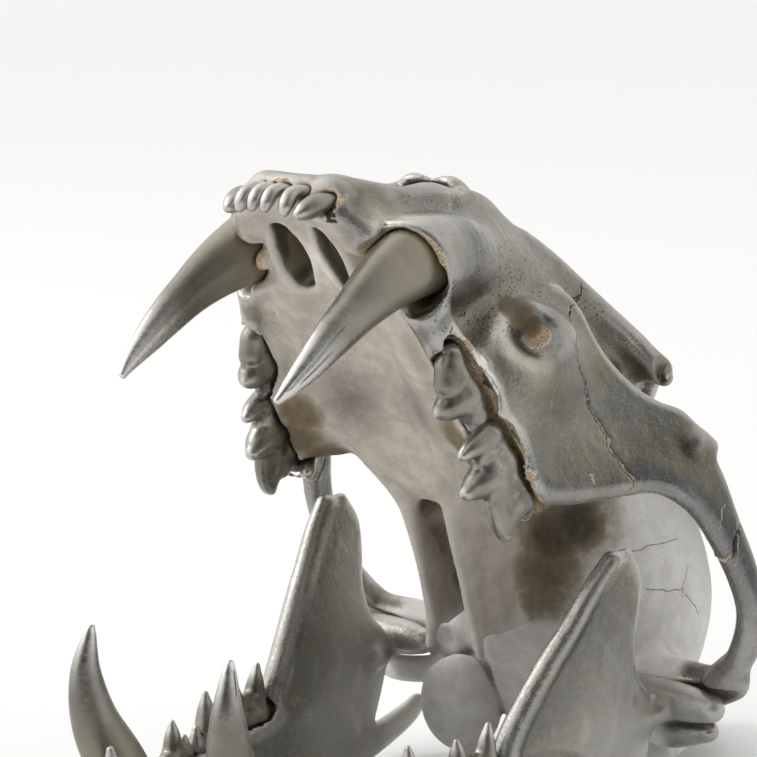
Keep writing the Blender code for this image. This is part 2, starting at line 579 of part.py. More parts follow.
def lower_teeth():
    teeth = []
    incisors = ((2.0, -144.2, 43.5, 1.4), (5.6, -143.8, 44.2, 1.7), (9.6, -142.6, 45.4, 2.1))
    for k, (x, y, tip, r) in enumerate(incisors):
        crown = [(x, y + 3.0, 33, r), (x, y + 0.6, 39, r * 1.1), (x, y - 0.4, tip - 0.6, r * 0.45)]
        teeth.append((f"incisor_{k + 1}", SMALL_TOOTH_TRIANGLES, [crown]))
    teeth.append(("premolar_3", CHEEK_TOOTH_TRIANGLES,
                  [[(28.6, -107, 28, 2.2), (29.6, -102.5, 28.5, 2.8), (30.8, -98, 28, 2.4)],
                   [(29.6, -102.8, 28, 3.0), (29.6, -103, 33.5, 2.1), (29.5, -103.2, 37.6, 0.7)],
                   [(30.8, -98, 28, 2.2), (30.9, -97.8, 32, 1.0)]]))
    teeth.append(("premolar_4", CHEEK_TOOTH_TRIANGLES,
                  [[(31.6, -93, 28, 2.6), (33.4, -87, 28.5, 3.3), (35.2, -81, 28, 2.9)],
                   [(33.4, -87, 28, 3.6), (33.3, -87.4, 35, 2.5), (33.1, -87.8, 40.6, 0.8)],
                   [(35.2, -81, 28, 2.7), (35.3, -80.8, 34, 1.0)],
                   [(31.6, -92.8, 28, 2.4), (31.4, -93, 33, 1.0)]]))
    teeth.append(("molar_1", CHEEK_TOOTH_TRIANGLES,
                  [[(36.2, -76.5, 28, 3.0), (37.4, -69, 28.5, 3.8), (38.6, -61.5, 28.5, 3.2)],
                   [(37.0, -73.5, 28, 3.6), (36.8, -73.6, 35, 2.4), (36.6, -74.0, 39.6, 0.8)],
                   [(38.0, -65, 28, 3.8), (38.0, -64.4, 36, 2.5), (38.0, -63.6, 41.6, 0.8)],
                   [(37.2, -72, 33, 2.3), (37.8, -66.5, 33, 2.3)]]))
    return teeth


# Rows of the canines: x, y, z, radius, from the root to the tip
UPPER_CANINE = [(21, 38, 29, 5.0), (24, 29, 18, 7.2), (24.8, 23.3, 8, 7.9), (24.8, 21.2, 0, 7.3),
                (25.4, 20.3, -8, 6.2), (25.8, 20.1, -16, 5.1), (25.8, 20.2, -24, 4.4),
                (25.8, 20.8, -32, 3.5), (25.3, 21.5, -40, 2.1), (24.4, 22.2, -45.1, 0.8)]
LOWER_CANINE = [(15, -120, 17, 4.6), (17.2, -127, 27, 6.2), (19.4, -132, 37, 6.6), (21.8, -136.4, 48, 5.4),
                (22.8, -138, 59, 3.7), (22.4, -137, 68, 1.7), (22.2, -136.4, 70.6, 0.8)]


# Objects

def skull_pose():
    """From the skull frame, in millimetres, to the jaw frame."""
    return (Matrix.Translation((0, 0, JOINT_HEIGHT)) @ Matrix.Rotation(math.radians(-GAPE_TILT), 4, "X")
            @ Matrix.Translation(-Vector(JOINT)))


def material(name, colour, roughness, metallic):
    made = bpy.data.materials.new(name)
    made.use_nodes = True
    shader = made.node_tree.nodes["Principled BSDF"]
    shader.inputs["Base Color"].default_value = colour
    shader.inputs["Roughness"].default_value = roughness
    shader.inputs["Metallic"].default_value = metallic
    return made


def new_object(name, points, faces, collection=None):
    mesh = bpy.data.meshes.new(name)
    mesh.from_pydata([tuple(p) for p in points], [], [tuple(int(i) for i in f) for f in faces])
    mesh.update()
    made = bpy.data.objects.new(name, mesh)
    (collection or bpy.context.scene.collection).objects.link(made)
    return made


def apply_modifiers(obj):
    evaluated = obj.evaluated_get(bpy.context.evaluated_depsgraph_get())
    mesh = bpy.data.meshes.new_from_object(evaluated)
    obj.modifiers.clear()
    old = obj.data
    obj.data = mesh
    bpy.data.meshes.remove(old)


def thin_out(obj, triangles):
    """Fewer, larger triangles, all of them flat."""
    count = sum(len(p.vertices) - 2 for p in obj.data.polygons)
    fewer = obj.modifiers.new("fewer", "DECIMATE")
    fewer.ratio = min(1.0, triangles / count)
    fewer.use_collapse_triangulate = True
    apply_modifiers(obj)


def largest_shell(obj):
    """Keeps only the closed surface with the most faces."""
    mesh = bmesh.new()
    mesh.from_mesh(obj.data)
    left = set(mesh.faces)
    best = []
    while left:
        shell = [left.pop()]
        for face in shell:
            for edge in face.edges:
                for other in edge.link_faces:
                    if other in left:
                        left.discard(other)
                        shell.append(other)
        if len(shell) > len(best):
            best = shell
    keep = set(best)
    bmesh.ops.delete(mesh, geom=[face for face in mesh.faces if face not in keep], context="FACES")
    bmesh.ops.triangulate(mesh, faces=mesh.faces[:])
    mesh.to_mesh(obj.data)
    mesh.free()


def boolean(obj, others, operation, solver="EXACT"):
    """Joins others on, or cuts them away, and removes them."""
    group = bpy.data.collections.new(f"{obj.name}_{operation}")
    bpy.context.scene.collection.children.link(group)
    for other in others:
        bpy.context.scene.collection.objects.unlink(other)
        group.objects.link(other)
    cut = obj.modifiers.new(operation, "BOOLEAN")
    cut.operation = operation
    cut.operand_type = "COLLECTION"
    cut.collection = group
    cut.solver = solver
    apply_modifiers(obj)
    for other in others:
        bpy.data.objects.remove(other)
    bpy.data.collections.remove(group)
    largest_shell(obj)


def tooth_object(name, rods, triangles):
    low = np.min([np.array(row[:3]) - row[3] for rod in rods for row in rod], 0) - 2
    high = np.max([np.array(row[:3]) + row[3] for rod in rods for row in rod], 0) + 2
    field = Field(low, high, TOOTH_STEP)
    for rod in rods:
        field.add(Rod(rod), 1.2)
    tooth = new_object(name, *surface(field))
    thin_out(tooth, triangles)
    return tooth


def canine_points(rows, grow, sides=10, steps=2):
    """Rings along a canine tooth with an oval section, and the faces between them."""
    line = curve_through(rows, steps)
    points = []
    for k, row in enumerate(line):
        along = line[min(k + 1, len(line) - 1), :3] - line[max(k - 1, 0), :3]
        along = Vector(along).normalized()
        side = Vector((1, 0, 0)) - along * along.x
        side.normalize()
        front = along.cross(side)
        for j in range(sides):
            turn = 2 * math.pi * j / sides
            r = row[3] + grow
            across = side * (CANINE_ACROSS * r * math.cos(turn))
            points.append(Vector(row[:3]) + across + front * (CANINE_ALONG * r * math.sin(turn)))
    faces = [tuple(range(sides))[::-1]]
    for k in range(len(line) - 1):
        for j in range(sides):
            a, b = k * sides + j, k * sides + (j + 1) % sides
            faces.append((a, b, b + sides, a + sides))
    faces.append(tuple((len(line) - 1) * sides + j for j in range(sides)))
    return points, faces


def outward(obj):
    mesh = bmesh.new()
    mesh.from_mesh(obj.data)
    bmesh.ops.recalc_face_normals(mesh, faces=mesh.faces[:])
    bmesh.ops.triangulate(mesh, faces=mesh.faces[:])
    mesh.to_mesh(obj.data)
    mesh.free()


def canine(name, rows, grow=0.0):
    tooth = new_object(name, *canine_points(rows, grow))
    outward(tooth)
    return tooth


def mirror_copy(obj, name):
    """A copy on the animal's right side."""
    mesh = obj.data.copy()
    for vertex in mesh.vertices:
        vertex.co.x = -vertex.co.x
    mesh.flip_normals()
    made = bpy.data.objects.new(name, mesh)
    bpy.context.scene.collection.objects.link(made)
    return made


def both_sides(rods):
    return [rods, [[(-x, y, z, r) for x, y, z, r in rod] for rod in rods]]


def cheek_cutter(name, gap):
    """A wedge that parts the cheek bone from the skull at its two seams, grown by gap."""
    planes = [CHEEK_SEAM, (0, 1, 0, CHEEK_FRONT), (1, 0, 0, CHEEK_INSIDE), (-1, 0, 0, -ARCH_HALF_WIDTH - 11),
              (0, 0, 1, -10), (0, 0, -1, -60),
              (0, -1, ARCH_SEAM_SLOPE, ARCH_SEAM_SLOPE * ARCH_SEAM[1] - ARCH_SEAM[0])]
    planes = np.array(planes, float)
    planes /= np.linalg.norm(planes[:, :3], axis=1)[:, None]
    corners = []
    for three in itertools.combinations(planes, 3):
        three = np.array(three)
        if abs(np.linalg.det(three[:, :3])) > 1e-6:
            corner = np.linalg.solve(three[:, :3], three[:, 3] - gap)
            if (planes[:, :3] @ corner >= planes[:, 3] - gap - 1e-6).all():
                corners.append(corner)
    mesh = bmesh.new()
    for corner in corners:
        mesh.verts.new(corner)
    bmesh.ops.convex_hull(mesh, input=mesh.verts[:])
    points = [tuple(v.co) for v in mesh.verts]
    mesh.verts.index_update()
    faces = [[v.index for v in face.verts] for face in mesh.faces]
    mesh.free()
    made = new_object(name, points, faces)
    outward(made)
    return made


def build_skull():
    skull = new_object("cranium", *surface(skull_field()))
    thin_out(skull, SKULL_TRIANGLES)
    largest_shell(skull)
    teeth = []
    for name, triangles, rods in upper_teeth():
        for side, mirrored in zip("lr", both_sides(rods)):
            teeth.append(tooth_object(f"{name}_{side}", mirrored, triangles))
    boolean(skull, teeth, "UNION")
    left = canine("upper_canine_left", UPPER_CANINE)
    right = mirror_copy(left, "upper_canine_right")
    socket = canine("socket_left", UPPER_CANINE, SOCKET_GAP)
    boolean(skull, [socket, mirror_copy(socket, "socket_right")], "DIFFERENCE")
    cheek = bpy.data.objects.new("zygomatic_left", skull.data.copy())
    bpy.context.scene.collection.objects.link(cheek)
    boolean(cheek, [cheek_cutter("cheek_part", 0.0)], "INTERSECT")
    wedge = cheek_cutter("cheek_room", SOCKET_GAP)
    boolean(skull, [wedge, mirror_copy(wedge, "cheek_room_right")], "DIFFERENCE")
    return [skull, left, right, cheek, mirror_copy(cheek, "zygomatic_right")]


def build_jaw():
    jaw = new_object("mandible_left", *surface(jaw_field()))
    thin_out(jaw, JAW_TRIANGLES)
    largest_shell(jaw)
    boolean(jaw, [tooth_object(name, rods, triangles) for name, triangles, rods in lower_teeth()], "UNION")
    left = canine("lower_canine_left", LOWER_CANINE)
    boolean(jaw, [canine("socket_low", LOWER_CANINE, SOCKET_GAP)], "DIFFERENCE")
    return [jaw, mirror_copy(jaw, "mandible_right"), left, mirror_copy(left, "lower_canine_right")]


def stand_on_origin(objects):
    """Moves all to the middle of the floor, and turns the millimetres into metres."""
    points = np.array([vertex.co for obj in objects for vertex in obj.data.vertices])
    low, high = points.min(0), points.max(0)
    shift = Matrix.Translation((-(low[0] + high[0]) / 2, -(low[1] + high[1]) / 2, -low[2]))
    for obj in objects:
        obj.data.transform(Matrix.Scale(MM, 4) @ shift)
        obj.data.update()


def main():
    for obj in list(bpy.data.objects):
        bpy.data.objects.remove(obj)
    bone = material("bone", BONE_COLOUR, 0.4, 0.6)
    enamel = material("enamel", TOOTH_COLOUR, 0.3, 0.6)
    skull_parts = build_skull()
    jaw_parts = build_jaw()
    for obj in skull_parts:
        obj.data.transform(skull_pose())
    stand_on_origin(skull_parts + jaw_parts)
    for obj in skull_parts + jaw_parts:
        obj.data.materials.clear()
        obj.data.materials.append(enamel if "canine" in obj.name else bone)
        obj.data.shade_smooth()


main()
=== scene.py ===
"""Looks of a silver coated leopard skull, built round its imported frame.

The bones and teeth are modelled again, finer, from the same named sizes as the solids: fields of distances
in millimetres that are meshed. The skull frame has x to the animal's left, y from the front of the upper
jaw to the back and z up from the edge of the cheek teeth's sockets. The jaw frame has y 0 at the jaw joint
and z 0 on the floor. Every mesh is turned into the row frame, in metres, when it is made.
"""

import math

import bpy
import numpy as np
from mathutils import Matrix, Vector


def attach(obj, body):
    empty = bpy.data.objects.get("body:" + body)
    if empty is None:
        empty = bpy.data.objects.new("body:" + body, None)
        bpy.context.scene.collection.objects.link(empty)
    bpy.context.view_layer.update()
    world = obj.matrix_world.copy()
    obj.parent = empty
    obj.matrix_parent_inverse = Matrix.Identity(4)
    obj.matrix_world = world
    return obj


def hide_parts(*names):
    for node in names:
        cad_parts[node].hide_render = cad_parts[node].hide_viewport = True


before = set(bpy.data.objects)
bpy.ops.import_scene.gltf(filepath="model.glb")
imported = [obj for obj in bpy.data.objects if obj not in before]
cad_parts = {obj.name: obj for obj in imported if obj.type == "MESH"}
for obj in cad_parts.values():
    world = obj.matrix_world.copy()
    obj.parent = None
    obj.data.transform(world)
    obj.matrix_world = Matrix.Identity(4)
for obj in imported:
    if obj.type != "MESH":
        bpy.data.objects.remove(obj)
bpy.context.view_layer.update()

# Pose
GAPE_TILT = 58.9            # how far the skull is tipped back over the flat lying jaw, degrees
JOINT_HEIGHT = 35.0         # jaw joint above the floor
JOINT = (0.0, 165.0, 13.0)  # jaw joint in the skull frame
JOINT_BACK = 32.9           # jaw joint behind the frame's origin

# Whole skull
SKULL_LENGTH = 226.0
ARCH_HALF_WIDTH = 74.0
BRAIN_HALF_WIDTH = 35.5
BROW_HALF_WIDTH = 35.0
MUZZLE_HALF_WIDTH = 26.0
CREST_TOP = 84.5
NOSE_TIP = (0.0, 31.3, 46.6)
CONDYLE_HALF_SPAN = 60.0

# Openings
ORBIT_CENTRE = (41.0, 84.0, 53.0)
ORBIT_RADII = (21.0, 21.0, 13.5)
CHOANA_RADIUS = 4.8
CHEEK_CANAL_RADIUS = 4.8
FORAMEN_MAGNUM_RADIUS = 9.0
JOINT_HOLLOW_RADIUS = 5.8
JOINT_ROLL_RADIUS = 4.8

# Seams of the cheek bone
CHEEK_SEAM = (0.154, 1.0, 2.834, 157.6)  # a point times the first three is the last on the seam in front
CHEEK_FRONT = 63.4          # where that seam turns up to the eye socket's rim
ARCH_SEAM = (124.0, 25.0)   # behind: a point's y and z
ARCH_SEAM_SLOPE = -0.5      # and y over z
CHEEK_INSIDE = 33.0         # the cheek bone's reach inwards
SEAM_GAP = 0.06

# Teeth
CANINE_ACROSS = 0.88        # of its row's radius: half the width of a canine across the jaw
CANINE_ALONG = 1.12         # and along the jaw
SOCKET_GAP = 0.3

# Meshing
BONE_STEP = 0.65
TOOTH_STEP = 0.32
FAR = 30.0                  # distance where no shape is near
NEAR = 9.0                  # and how far round a shape its distances are worked out
MM = 0.001
CHEEK_SOCKET_GAP = 0.9
CANINE_SOCKET_GAP = 0.4
SOCKET_BLEND = 0.6
TOOTH_BLEND = 1.2
TOOTH_MARGIN = 1.5
RELAXING = (0.5, -0.52)     # share of the way to the neighbours' middle, out and back
CANINE_RINGS = 22
CANINE_SIDES = 180
CANINE_GROOVES = [(28, 0.62, 0.93), (4, 0.7, 0.9)]  # degrees round the tooth, start and end along it
GROOVE_DEPTH = 0.34
GROOVE_WIDTH = 0.2
GROOVE_END = 0.06           # share of the tooth over which a groove fades in or out
TIP_LENGTH = 0.4            # from the last ring to the tip, of that ring's radius

# Marks on the coat
INCISOR_STRIP = 1.0         # width of the bare strip beside a tooth
CHEEK_TOOTH_STRIP = 2.25
STRIP_DEPTH = 0.6           # and how deep it lies under the silver,
STRIP_TOP = 6.0             # below this height
STRIP_FRONT = 40.0          # and behind this place
FINE_REACH = 2.2            # half the cubes that tell a hollow from a tip
WIDE_REACH = 9.0
STAIN_FADE = (0.4, 1.8)     # a stain fades out between these shares of its radius
LINE_REACH = 2.0            # how far beside a line its layer tells the distance
LINE_HALF_WIDTH = 0.3
LINE_SHAKE = 0.22           # how far a line's places are moved at random
SEAM_THREAD = 1.1           # width of the pale thread in the cheek bone's seams

# Colours, linear
SILVER_WARM = (0.21, 0.197, 0.152)
SILVER_COOL = (0.185, 0.182, 0.166)
# polished coat, also the colour of painted highlights on edges, lips, cusps and tips
POLISH_AND_HIGHLIGHT = (0.72, 0.71, 0.69)
SILVER_METALLIC = 0.85
SILVER_ROUGHNESS = 0.30
BONE_ROUGHNESS = 0.66
BONE_BUMP = 0.5             # height of the bumps, millimetres
TOOTH_BUMP = 0.25
TOOTH_DARK = (0.20, 0.193, 0.168)
TOOTH_LIGHT = (0.31, 0.303, 0.272)
TOOTH_METALLIC = 0.92
ROOT_COLOUR = (0.285, 0.262, 0.207)
PALATE_DARK = (0.50, 0.45, 0.385)
PALATE_LIGHT = (0.63, 0.575, 0.505)
PALE_DARK = (0.69, 0.675, 0.65)
PALE_LIGHT = (0.79, 0.78, 0.76)
# colour of the painted shade band on the cheek arch
SHADE_BAND_COLOUR = (0.12, 0.125, 0.135)
# dark of dirt and pits, also the painted shade in creases
DIRT_AND_SHADE = (0.075, 0.058, 0.04)
OCHRE = (0.165, 0.118, 0.056)
# dark of deep stains and cracks, also of painted shadow
STAIN_CRACK_AND_SHADE = (0.036, 0.026, 0.016)
THREAD = (0.62, 0.54, 0.38)
RAW_DARK = (0.34, 0.235, 0.13)
RAW_LIGHT = (0.70, 0.57, 0.38)
SKY_COLOUR = (1, 0.985, 0.965)
FLOOR_COLOUR = (0.845, 0.85, 0.855)
FLOOR_ROUGHNESS = 0.9
FLOOR_RADIUS = 12.0

# Sky: direction, start and end of the rise in its cosine, strength; lamps: name, place, size, power
SKY_BASE = 0.06
SKY = [((-0.75, -0.45, 0.5), 0.1, 0.95, 1.6), ((0.3, 1.0, 0.4), 0.0, 0.9, 1.0)]
LAMPS = [("key", (-1.25, -0.55, 1.2), 0.3, 5.5)]
LAMP_TARGET = (0, 0, 0.08)

# Camera: place in the skull frame, turn as an axis times radians
CAMERA_PLACE = (406.494494, -283.037846, -344.161210)
CAMERA_TURN = (0.689129983, 0.709876855, -0.127232859)
CAMERA_LENS = 123.521
CAMERA_SENSOR = 36.0
CAMERA_RANGE = (0.05, 100.0)


# Fields of distances

def smooth_min(a, b, blend):
    """The lower of two distances, rounded over where they differ by less than blend."""
    if blend <= 0:
        return np.minimum(a, b)
    near = np.maximum(blend - np.abs(a - b), 0) / blend
    return np.minimum(a, b) - near * near * blend * 0.25


def curve_through(rows, steps):
    """Rows of numbers along a smooth curve through the given rows."""
    rows = np.asarray(rows, float)
    padded = np.vstack([2 * rows[0] - rows[1], rows, 2 * rows[-1] - rows[-2]])
    out = []
    for a, b, c, d in zip(padded, padded[1:], padded[2:], padded[3:]):
        for t in np.arange(steps) / steps:
            bend = (2 * a - 5 * b + 4 * c - d) * t * t + (3 * b - a - 3 * c + d) * t ** 3
            out.append(0.5 * (2 * b + (c - a) * t + bend))
    out.append(rows[-1])
    return np.array(out)


def along_stretches(rows, reach, grids, gap):
    """The least of gap(a, b, grids) over neighbouring rows, each worked out only round its own stretch."""
    best = np.full(np.broadcast_shapes(*(g.shape for g in grids)), FAR, np.float32)
    for a, b in zip(rows, rows[1:]):
        low, high = reach(a, b)
        part = []
        for g, lowest, highest in zip(grids, low, high):
            line = g.ravel()
            part.append(slice(np.searchsorted(line, lowest), np.searchsorted(line, highest)))
        x, y, z = grids[0][part[0]], grids[1][:, part[1]], grids[2][:, :, part[2]]
        if x.size and y.size and z.size:
            at = tuple(part)
            best[at] = np.minimum(best[at], gap(a, b, (x, y, z)))
    return best


class Ball:
    """An ellipsoid, turned by turn degrees about z."""

    def __init__(self, centre, radii, turn=0.0):
        self.centre = centre
        self.radii = radii
        self.turn = math.radians(turn)
        reach = np.full(3, max(radii)) if turn else np.array(radii)
        self.low = np.array(centre) - reach
        self.high = np.array(centre) + reach

    def distance(self, grids):
        x, y, z = (g - c for g, c in zip(grids, self.centre))
        c, s = math.cos(self.turn), math.sin(self.turn)
        p = (c * x + s * y, c * y - s * x, z)
        k0 = np.sqrt(sum((q / r) ** 2 for q, r in zip(p, self.radii)))
        k1 = np.sqrt(sum((q / r ** 2) ** 2 for q, r in zip(p, self.radii)))
        return k0 * (k0 - 1) / np.maximum(k1, 1e-6)


class Rod:
    """A rod along a smooth curve. Each row is x, y, z, radius. flat squeezes it along an axis."""

    def __init__(self, rows, flat=(1, 1, 1), steps=4):
        self.flat = np.array(flat, float)
        self.rows = curve_through(rows, steps)
        reach = self.rows[:, 3:] / self.flat
        self.low = (self.rows[:, :3] - reach).min(0)
        self.high = (self.rows[:, :3] + reach).max(0)

    def distance(self, grids):
        s = self.flat

        def reach(a, b):
            r = max(a[3], b[3]) / s + NEAR
            return np.minimum(a[:3], b[:3]) - r, np.maximum(a[:3], b[:3]) + r

        def gap(a, b, part):
            p = [q * k for q, k in zip(part, s)]
            u, d = a[:3] * s, (b[:3] - a[:3]) * s
            t = np.clip(sum((q - w) * e for q, w, e in zip(p, u, d)) / max(d @ d, 1e-9), 0, 1)
            span = sum((q - w - t * e) ** 2 for q, w, e in zip(p, u, d))
            return (np.sqrt(span) - (a[3] + (b[3] - a[3]) * t)) / s.max() ** 0.5

        return along_stretches(self.rows, reach, grids, gap)


class Strap:
    """A band between two edge curves. Each row is one edge's x, y, z, the other's, and a radius."""

    def __init__(self, rows, steps=8):
        self.rows = curve_through(rows, steps)
        r = self.rows[:, 6:]
        self.low = (np.minimum(self.rows[:, :3], self.rows[:, 3:6]) - r).min(0)
        self.high = (np.maximum(self.rows[:, :3], self.rows[:, 3:6]) + r).max(0)

    def distance(self, grids):
        def reach(a, b):
            r = max(a[6], b[6]) + NEAR
            ends = np.array([a[:3], a[3:6], b[:3], b[3:6]])
            return ends.min(0) - r, ends.max(0) + r

        def gap(a, b, part):
            m, n = (a[:3] + a[3:6]) / 2, (b[:3] + b[3:6]) / 2
            g, h = (a[:3] - a[3:6]) / 2, (b[:3] - b[3:6]) / 2
            d = n - m
            p = [q - w for q, w in zip(part, m)]
            t = np.clip(sum(q * e for q, e in zip(p, d)) / max(d @ d, 1e-9), 0, 1)
            p = [q - t * e for q, e in zip(p, d)]
            w = [u + t * (v - u) for u, v in zip(g, h)]
            width = np.maximum(sum(e * e for e in w), 1e-6)
            s = np.clip(sum(q * e for q, e in zip(p, w)) / width, -1, 1)
            span = sum((q - s * e) ** 2 for q, e in zip(p, w))
            return np.sqrt(span) - (a[6] + (b[6] - a[6]) * t)

        return along_stretches(self.rows, reach, grids, gap)


class Trunk:
    """A trunk along y. Each row is y, half width, bottom, top, height of the widest place, squareness."""

    def __init__(self, rows):
        self.rows = curve_through(rows, 8)
        r = self.rows
        self.low = np.array([-r[:, 1].max(), r[0, 0], r[:, 2].min()])
        self.high = np.array([r[:, 1].max(), r[-1, 0], r[:, 3].max()])

    def distance(self, grids):
        x, y, z = grids
        r = self.rows
        half, low, high, widest, square = (np.interp(y, r[:, 0], r[:, i]) for i in range(1, 6))
        centre = low + (high - low) * widest
        up = z - centre
        tall = np.where(up > 0, high - centre, centre - low)
        ring = ((np.abs(x) / half) ** square + (np.abs(up) / tall) ** square) ** (1 / square) - 1
        ends = np.maximum(r[0, 0] - y, y - r[-1, 0])
        return np.maximum(ring * np.minimum(half, tall), ends)


class Plate:
    """A plate that faces x: a smooth closed outline in y and z, and x = middle + slope . (y, z)."""

    def __init__(self, outline, middle, half, slope=(0, 0)):
        self.ring = curve_through(list(outline) + [outline[0]], 4)[:-1]
        self.middle, self.half, self.slope = middle, half, slope
        rise = middle + self.ring @ np.array(slope)
        self.low = np.array([rise.min() - half, *self.ring.min(0)])
        self.high = np.array([rise.max() + half, *self.ring.max(0)])

    def distance(self, grids):
        x, y, z = grids
        best = np.full(np.broadcast_shapes(y.shape, z.shape), np.inf)
        inside = np.zeros(best.shape, bool)
        for a, b in zip(self.ring, np.roll(self.ring, -1, 0)):
            d = b - a
            t = np.clip(((y - a[0]) * d[0] + (z - a[1]) * d[1]) / max(d @ d, 1e-9), 0, 1)
            best = np.minimum(best, (y - a[0] - t * d[0]) ** 2 + (z - a[1] - t * d[1]) ** 2)
            if a[1] != b[1]:
                inside ^= ((a[1] > z) != (b[1] > z)) & (y < d[0] * (z - a[1]) / d[1] + a[0])
        edge = np.sqrt(best) * np.where(inside, -1, 1)
        lean = math.sqrt(1 + self.slope[0] ** 2 + self.slope[1] ** 2)
        face = np.abs(x - self.middle - self.slope[0] * y - self.slope[1] * z) / lean - self.half
        out = np.sqrt(np.maximum(edge, 0) ** 2 + np.maximum(face, 0) ** 2)
        return out + np.minimum(np.maximum(edge, face), 0)


class Field:
    """A box of distances to a surface, negative inside."""

    def __init__(self, low, high, step):
        self.low = np.array(low, float)
        self.step = step
        self.count = np.ceil((np.array(high) - self.low) / step).astype(int) + 1
        self.d = np.full(self.count, FAR, np.float32)

    def window(self, low, high):
        first = np.clip(np.floor((low - self.low) / self.step).astype(int), 0, self.count)
        last = np.clip(np.ceil((high - self.low) / self.step).astype(int) + 1, 0, self.count)
        grids = []
        for i in range(3):
            line = self.low[i] + self.step * np.arange(first[i], last[i])
            grids.append(line.astype(np.float32).reshape([-1 if i == j else 1 for j in range(3)]))
        return tuple(slice(f, l) for f, l in zip(first, last)), grids

    def add(self, shape, blend, sign=1):
        """Joins a shape on, with a fillet about as wide as blend."""
        reach = blend + 2 * self.step + 1
        at, grids = self.window(shape.low - reach, shape.high + reach)
        if self.d[at].size:
            self.d[at] = sign * smooth_min(sign * self.d[at], shape.distance(grids).astype(np.float32), blend)

    def cut(self, shape, blend):
        """Takes a shape away, with a rounded rim."""
        self.add(shape, blend, -1)

    def trim(self, point, normal):
        """Cuts off flat all that lies behind the plane through point."""
        x, y, z = self.window(self.low, self.low + self.step * self.count)[1]
        n = np.array(normal, float) / np.linalg.norm(normal)
        behind = -(n[0] * (x - point[0]) + n[1] * (y - point[1]) + n[2] * (z - point[2]))
        self.d = np.maximum(self.d, behind.astype(np.float32))

    def mirrored(self):
        """The same field with its other half, for a bone that is alike on both sides of x 0."""
        whole = Field(self.low, self.low, self.step)
        whole.d = np.concatenate([self.d[:0:-1], self.d], axis=0)
        whole.count = np.array(whole.d.shape)
        whole.low[0] = -self.step * (self.count[0] - 1)
        return whole


CELL_CORNERS = [(i, j, k) for i in (0, 1) for j in (0, 1) for k in (0, 1)]


def untangle(inside):
    """Fills grid points until no cell's inside or outside points meet only at a corner or across a face."""
    parts = {}
    for c in CELL_CORNERS:
        parts[c] = tuple(slice(e, n - 1 + e) for e, n in zip(c, inside.shape))
    while True:
        fill = np.zeros_like(inside)
        for axis in range(3):
            s = [[slice(None)] * 3 for _ in range(4)]
            b, c = [i for i in range(3) if i != axis]
            for k, (db, dc) in enumerate(((0, 0), (1, 1), (0, 1), (1, 0))):
                s[k][b] = slice(db, inside.shape[b] - 1 + db)
                s[k][c] = slice(dc, inside.shape[c] - 1 + dc)
            p, q, r, t = (inside[tuple(k)] for k in s)
            fill[tuple(s[2])] |= p & q & ~r & ~t
            fill[tuple(s[0])] |= ~p & ~q & r & t
        number = sum(inside[part].astype(np.int8) for part in parts.values())
        for c in CELL_CORNERS[:4]:
            far = tuple(1 - e for e in c)
            near_corner, far_corner = inside[parts[c]], inside[parts[far]]
            fill[parts[c[0], c[1], 1 - c[2]]] |= (number == 2) & near_corner & far_corner
            fill[parts[c]] |= (number == 6) & ~near_corner & ~far_corner
        fill &= ~inside
        if not fill.any():
            return inside
        inside = inside | fill


def surface(field):
    """Points and four-sided faces of the field's zero surface, facing out."""
    d = field.d
    inside = untangle(d < 0)
    d = np.where(inside & (d >= 0), np.float32(-0.02 * field.step), d)
    number = sum(inside[tuple(slice(e, m - 1 + e) for e, m in zip(c, d.shape))].astype(np.int8)
                 for c in CELL_CORNERS)
    active = (number > 0) & (number < 8)
    where = np.argwhere(active)
    index = np.full(active.shape, -1, np.int64)
    index[active] = np.arange(len(where))
    total = np.zeros((len(where), 3))
    count = np.zeros(len(where))
    for corner in CELL_CORNERS:
        for axis in range(3):
            if corner[axis]:
                continue
            start = where + corner
            end = start.copy()
            end[:, axis] += 1
            u, v = d[tuple(start.T)], d[tuple(end.T)]
            crossing = (u < 0) != (v < 0)
            spot = np.repeat(np.array([corner], float), len(where), 0)
            spot[:, axis] = np.where(crossing, u / np.where(crossing, u - v, 1), 0)
            total += spot * crossing[:, None]
            count += crossing
    points = field.low + field.step * (where + total / count[:, None])
    faces = []
    for axis in range(3):
        b, c = [(1, 2), (2, 0), (0, 1)][axis]
        first = [slice(1, -1)] * 3
        first[axis] = slice(0, -1)
        second = list(first)
        second[axis] = slice(1, None)
        here, beyond = inside[tuple(first)], inside[tuple(second)]
        for state, flip in ((here & ~beyond, False), (~here & beyond, True)):
            at = np.argwhere(state) + np.where(np.arange(3) == axis, 0, 1)
            ring = []
            for db, dc in ((-1, -1), (0, -1), (0, 0), (-1, 0)):
                cell = at.copy()
                cell[:, b] += db
                cell[:, c] += dc
                ring.append(index[tuple(cell.T)])
            face = np.stack(ring, 1)
            faces.append(face[:, ::-1] if flip else face)
    return points, np.concatenate(faces)


# Bones of the skull: left half, skull frame

def add_face(f):
    w = MUZZLE_HALF_WIDTH
    f.add(Trunk([(3, 13.5, -1, 8, .5, 2.6), (8, 16.5, -1, 12, .4, 2.6), (14, 20, 0, 19, .35, 2.5),
                 (20, 24, 0, 27, .28, 2.4), (26, w, 0, 36, .24, 2.5), (31, w, 0, 45, .2, 2.5),
                 (36, w, 0, 53, .16, 2.6), (44, 26.5, 0, 56.5, .15, 2.7),
                 (56, 29, 0, 61.5, .15, 2.7), (68, 30, 0, 66.5, .15, 2.6), (80, 29, 1, 71, .2, 2.6),
                 (92, 27, 3, 75, .4, 2.8), (103, 24, 8, 78, .7, 2.8), (112, 21, 12, 80, .75, 2.5)]), 3)
    f.add(Ball((31, 72, 20), (14, 24, 22)), 6)


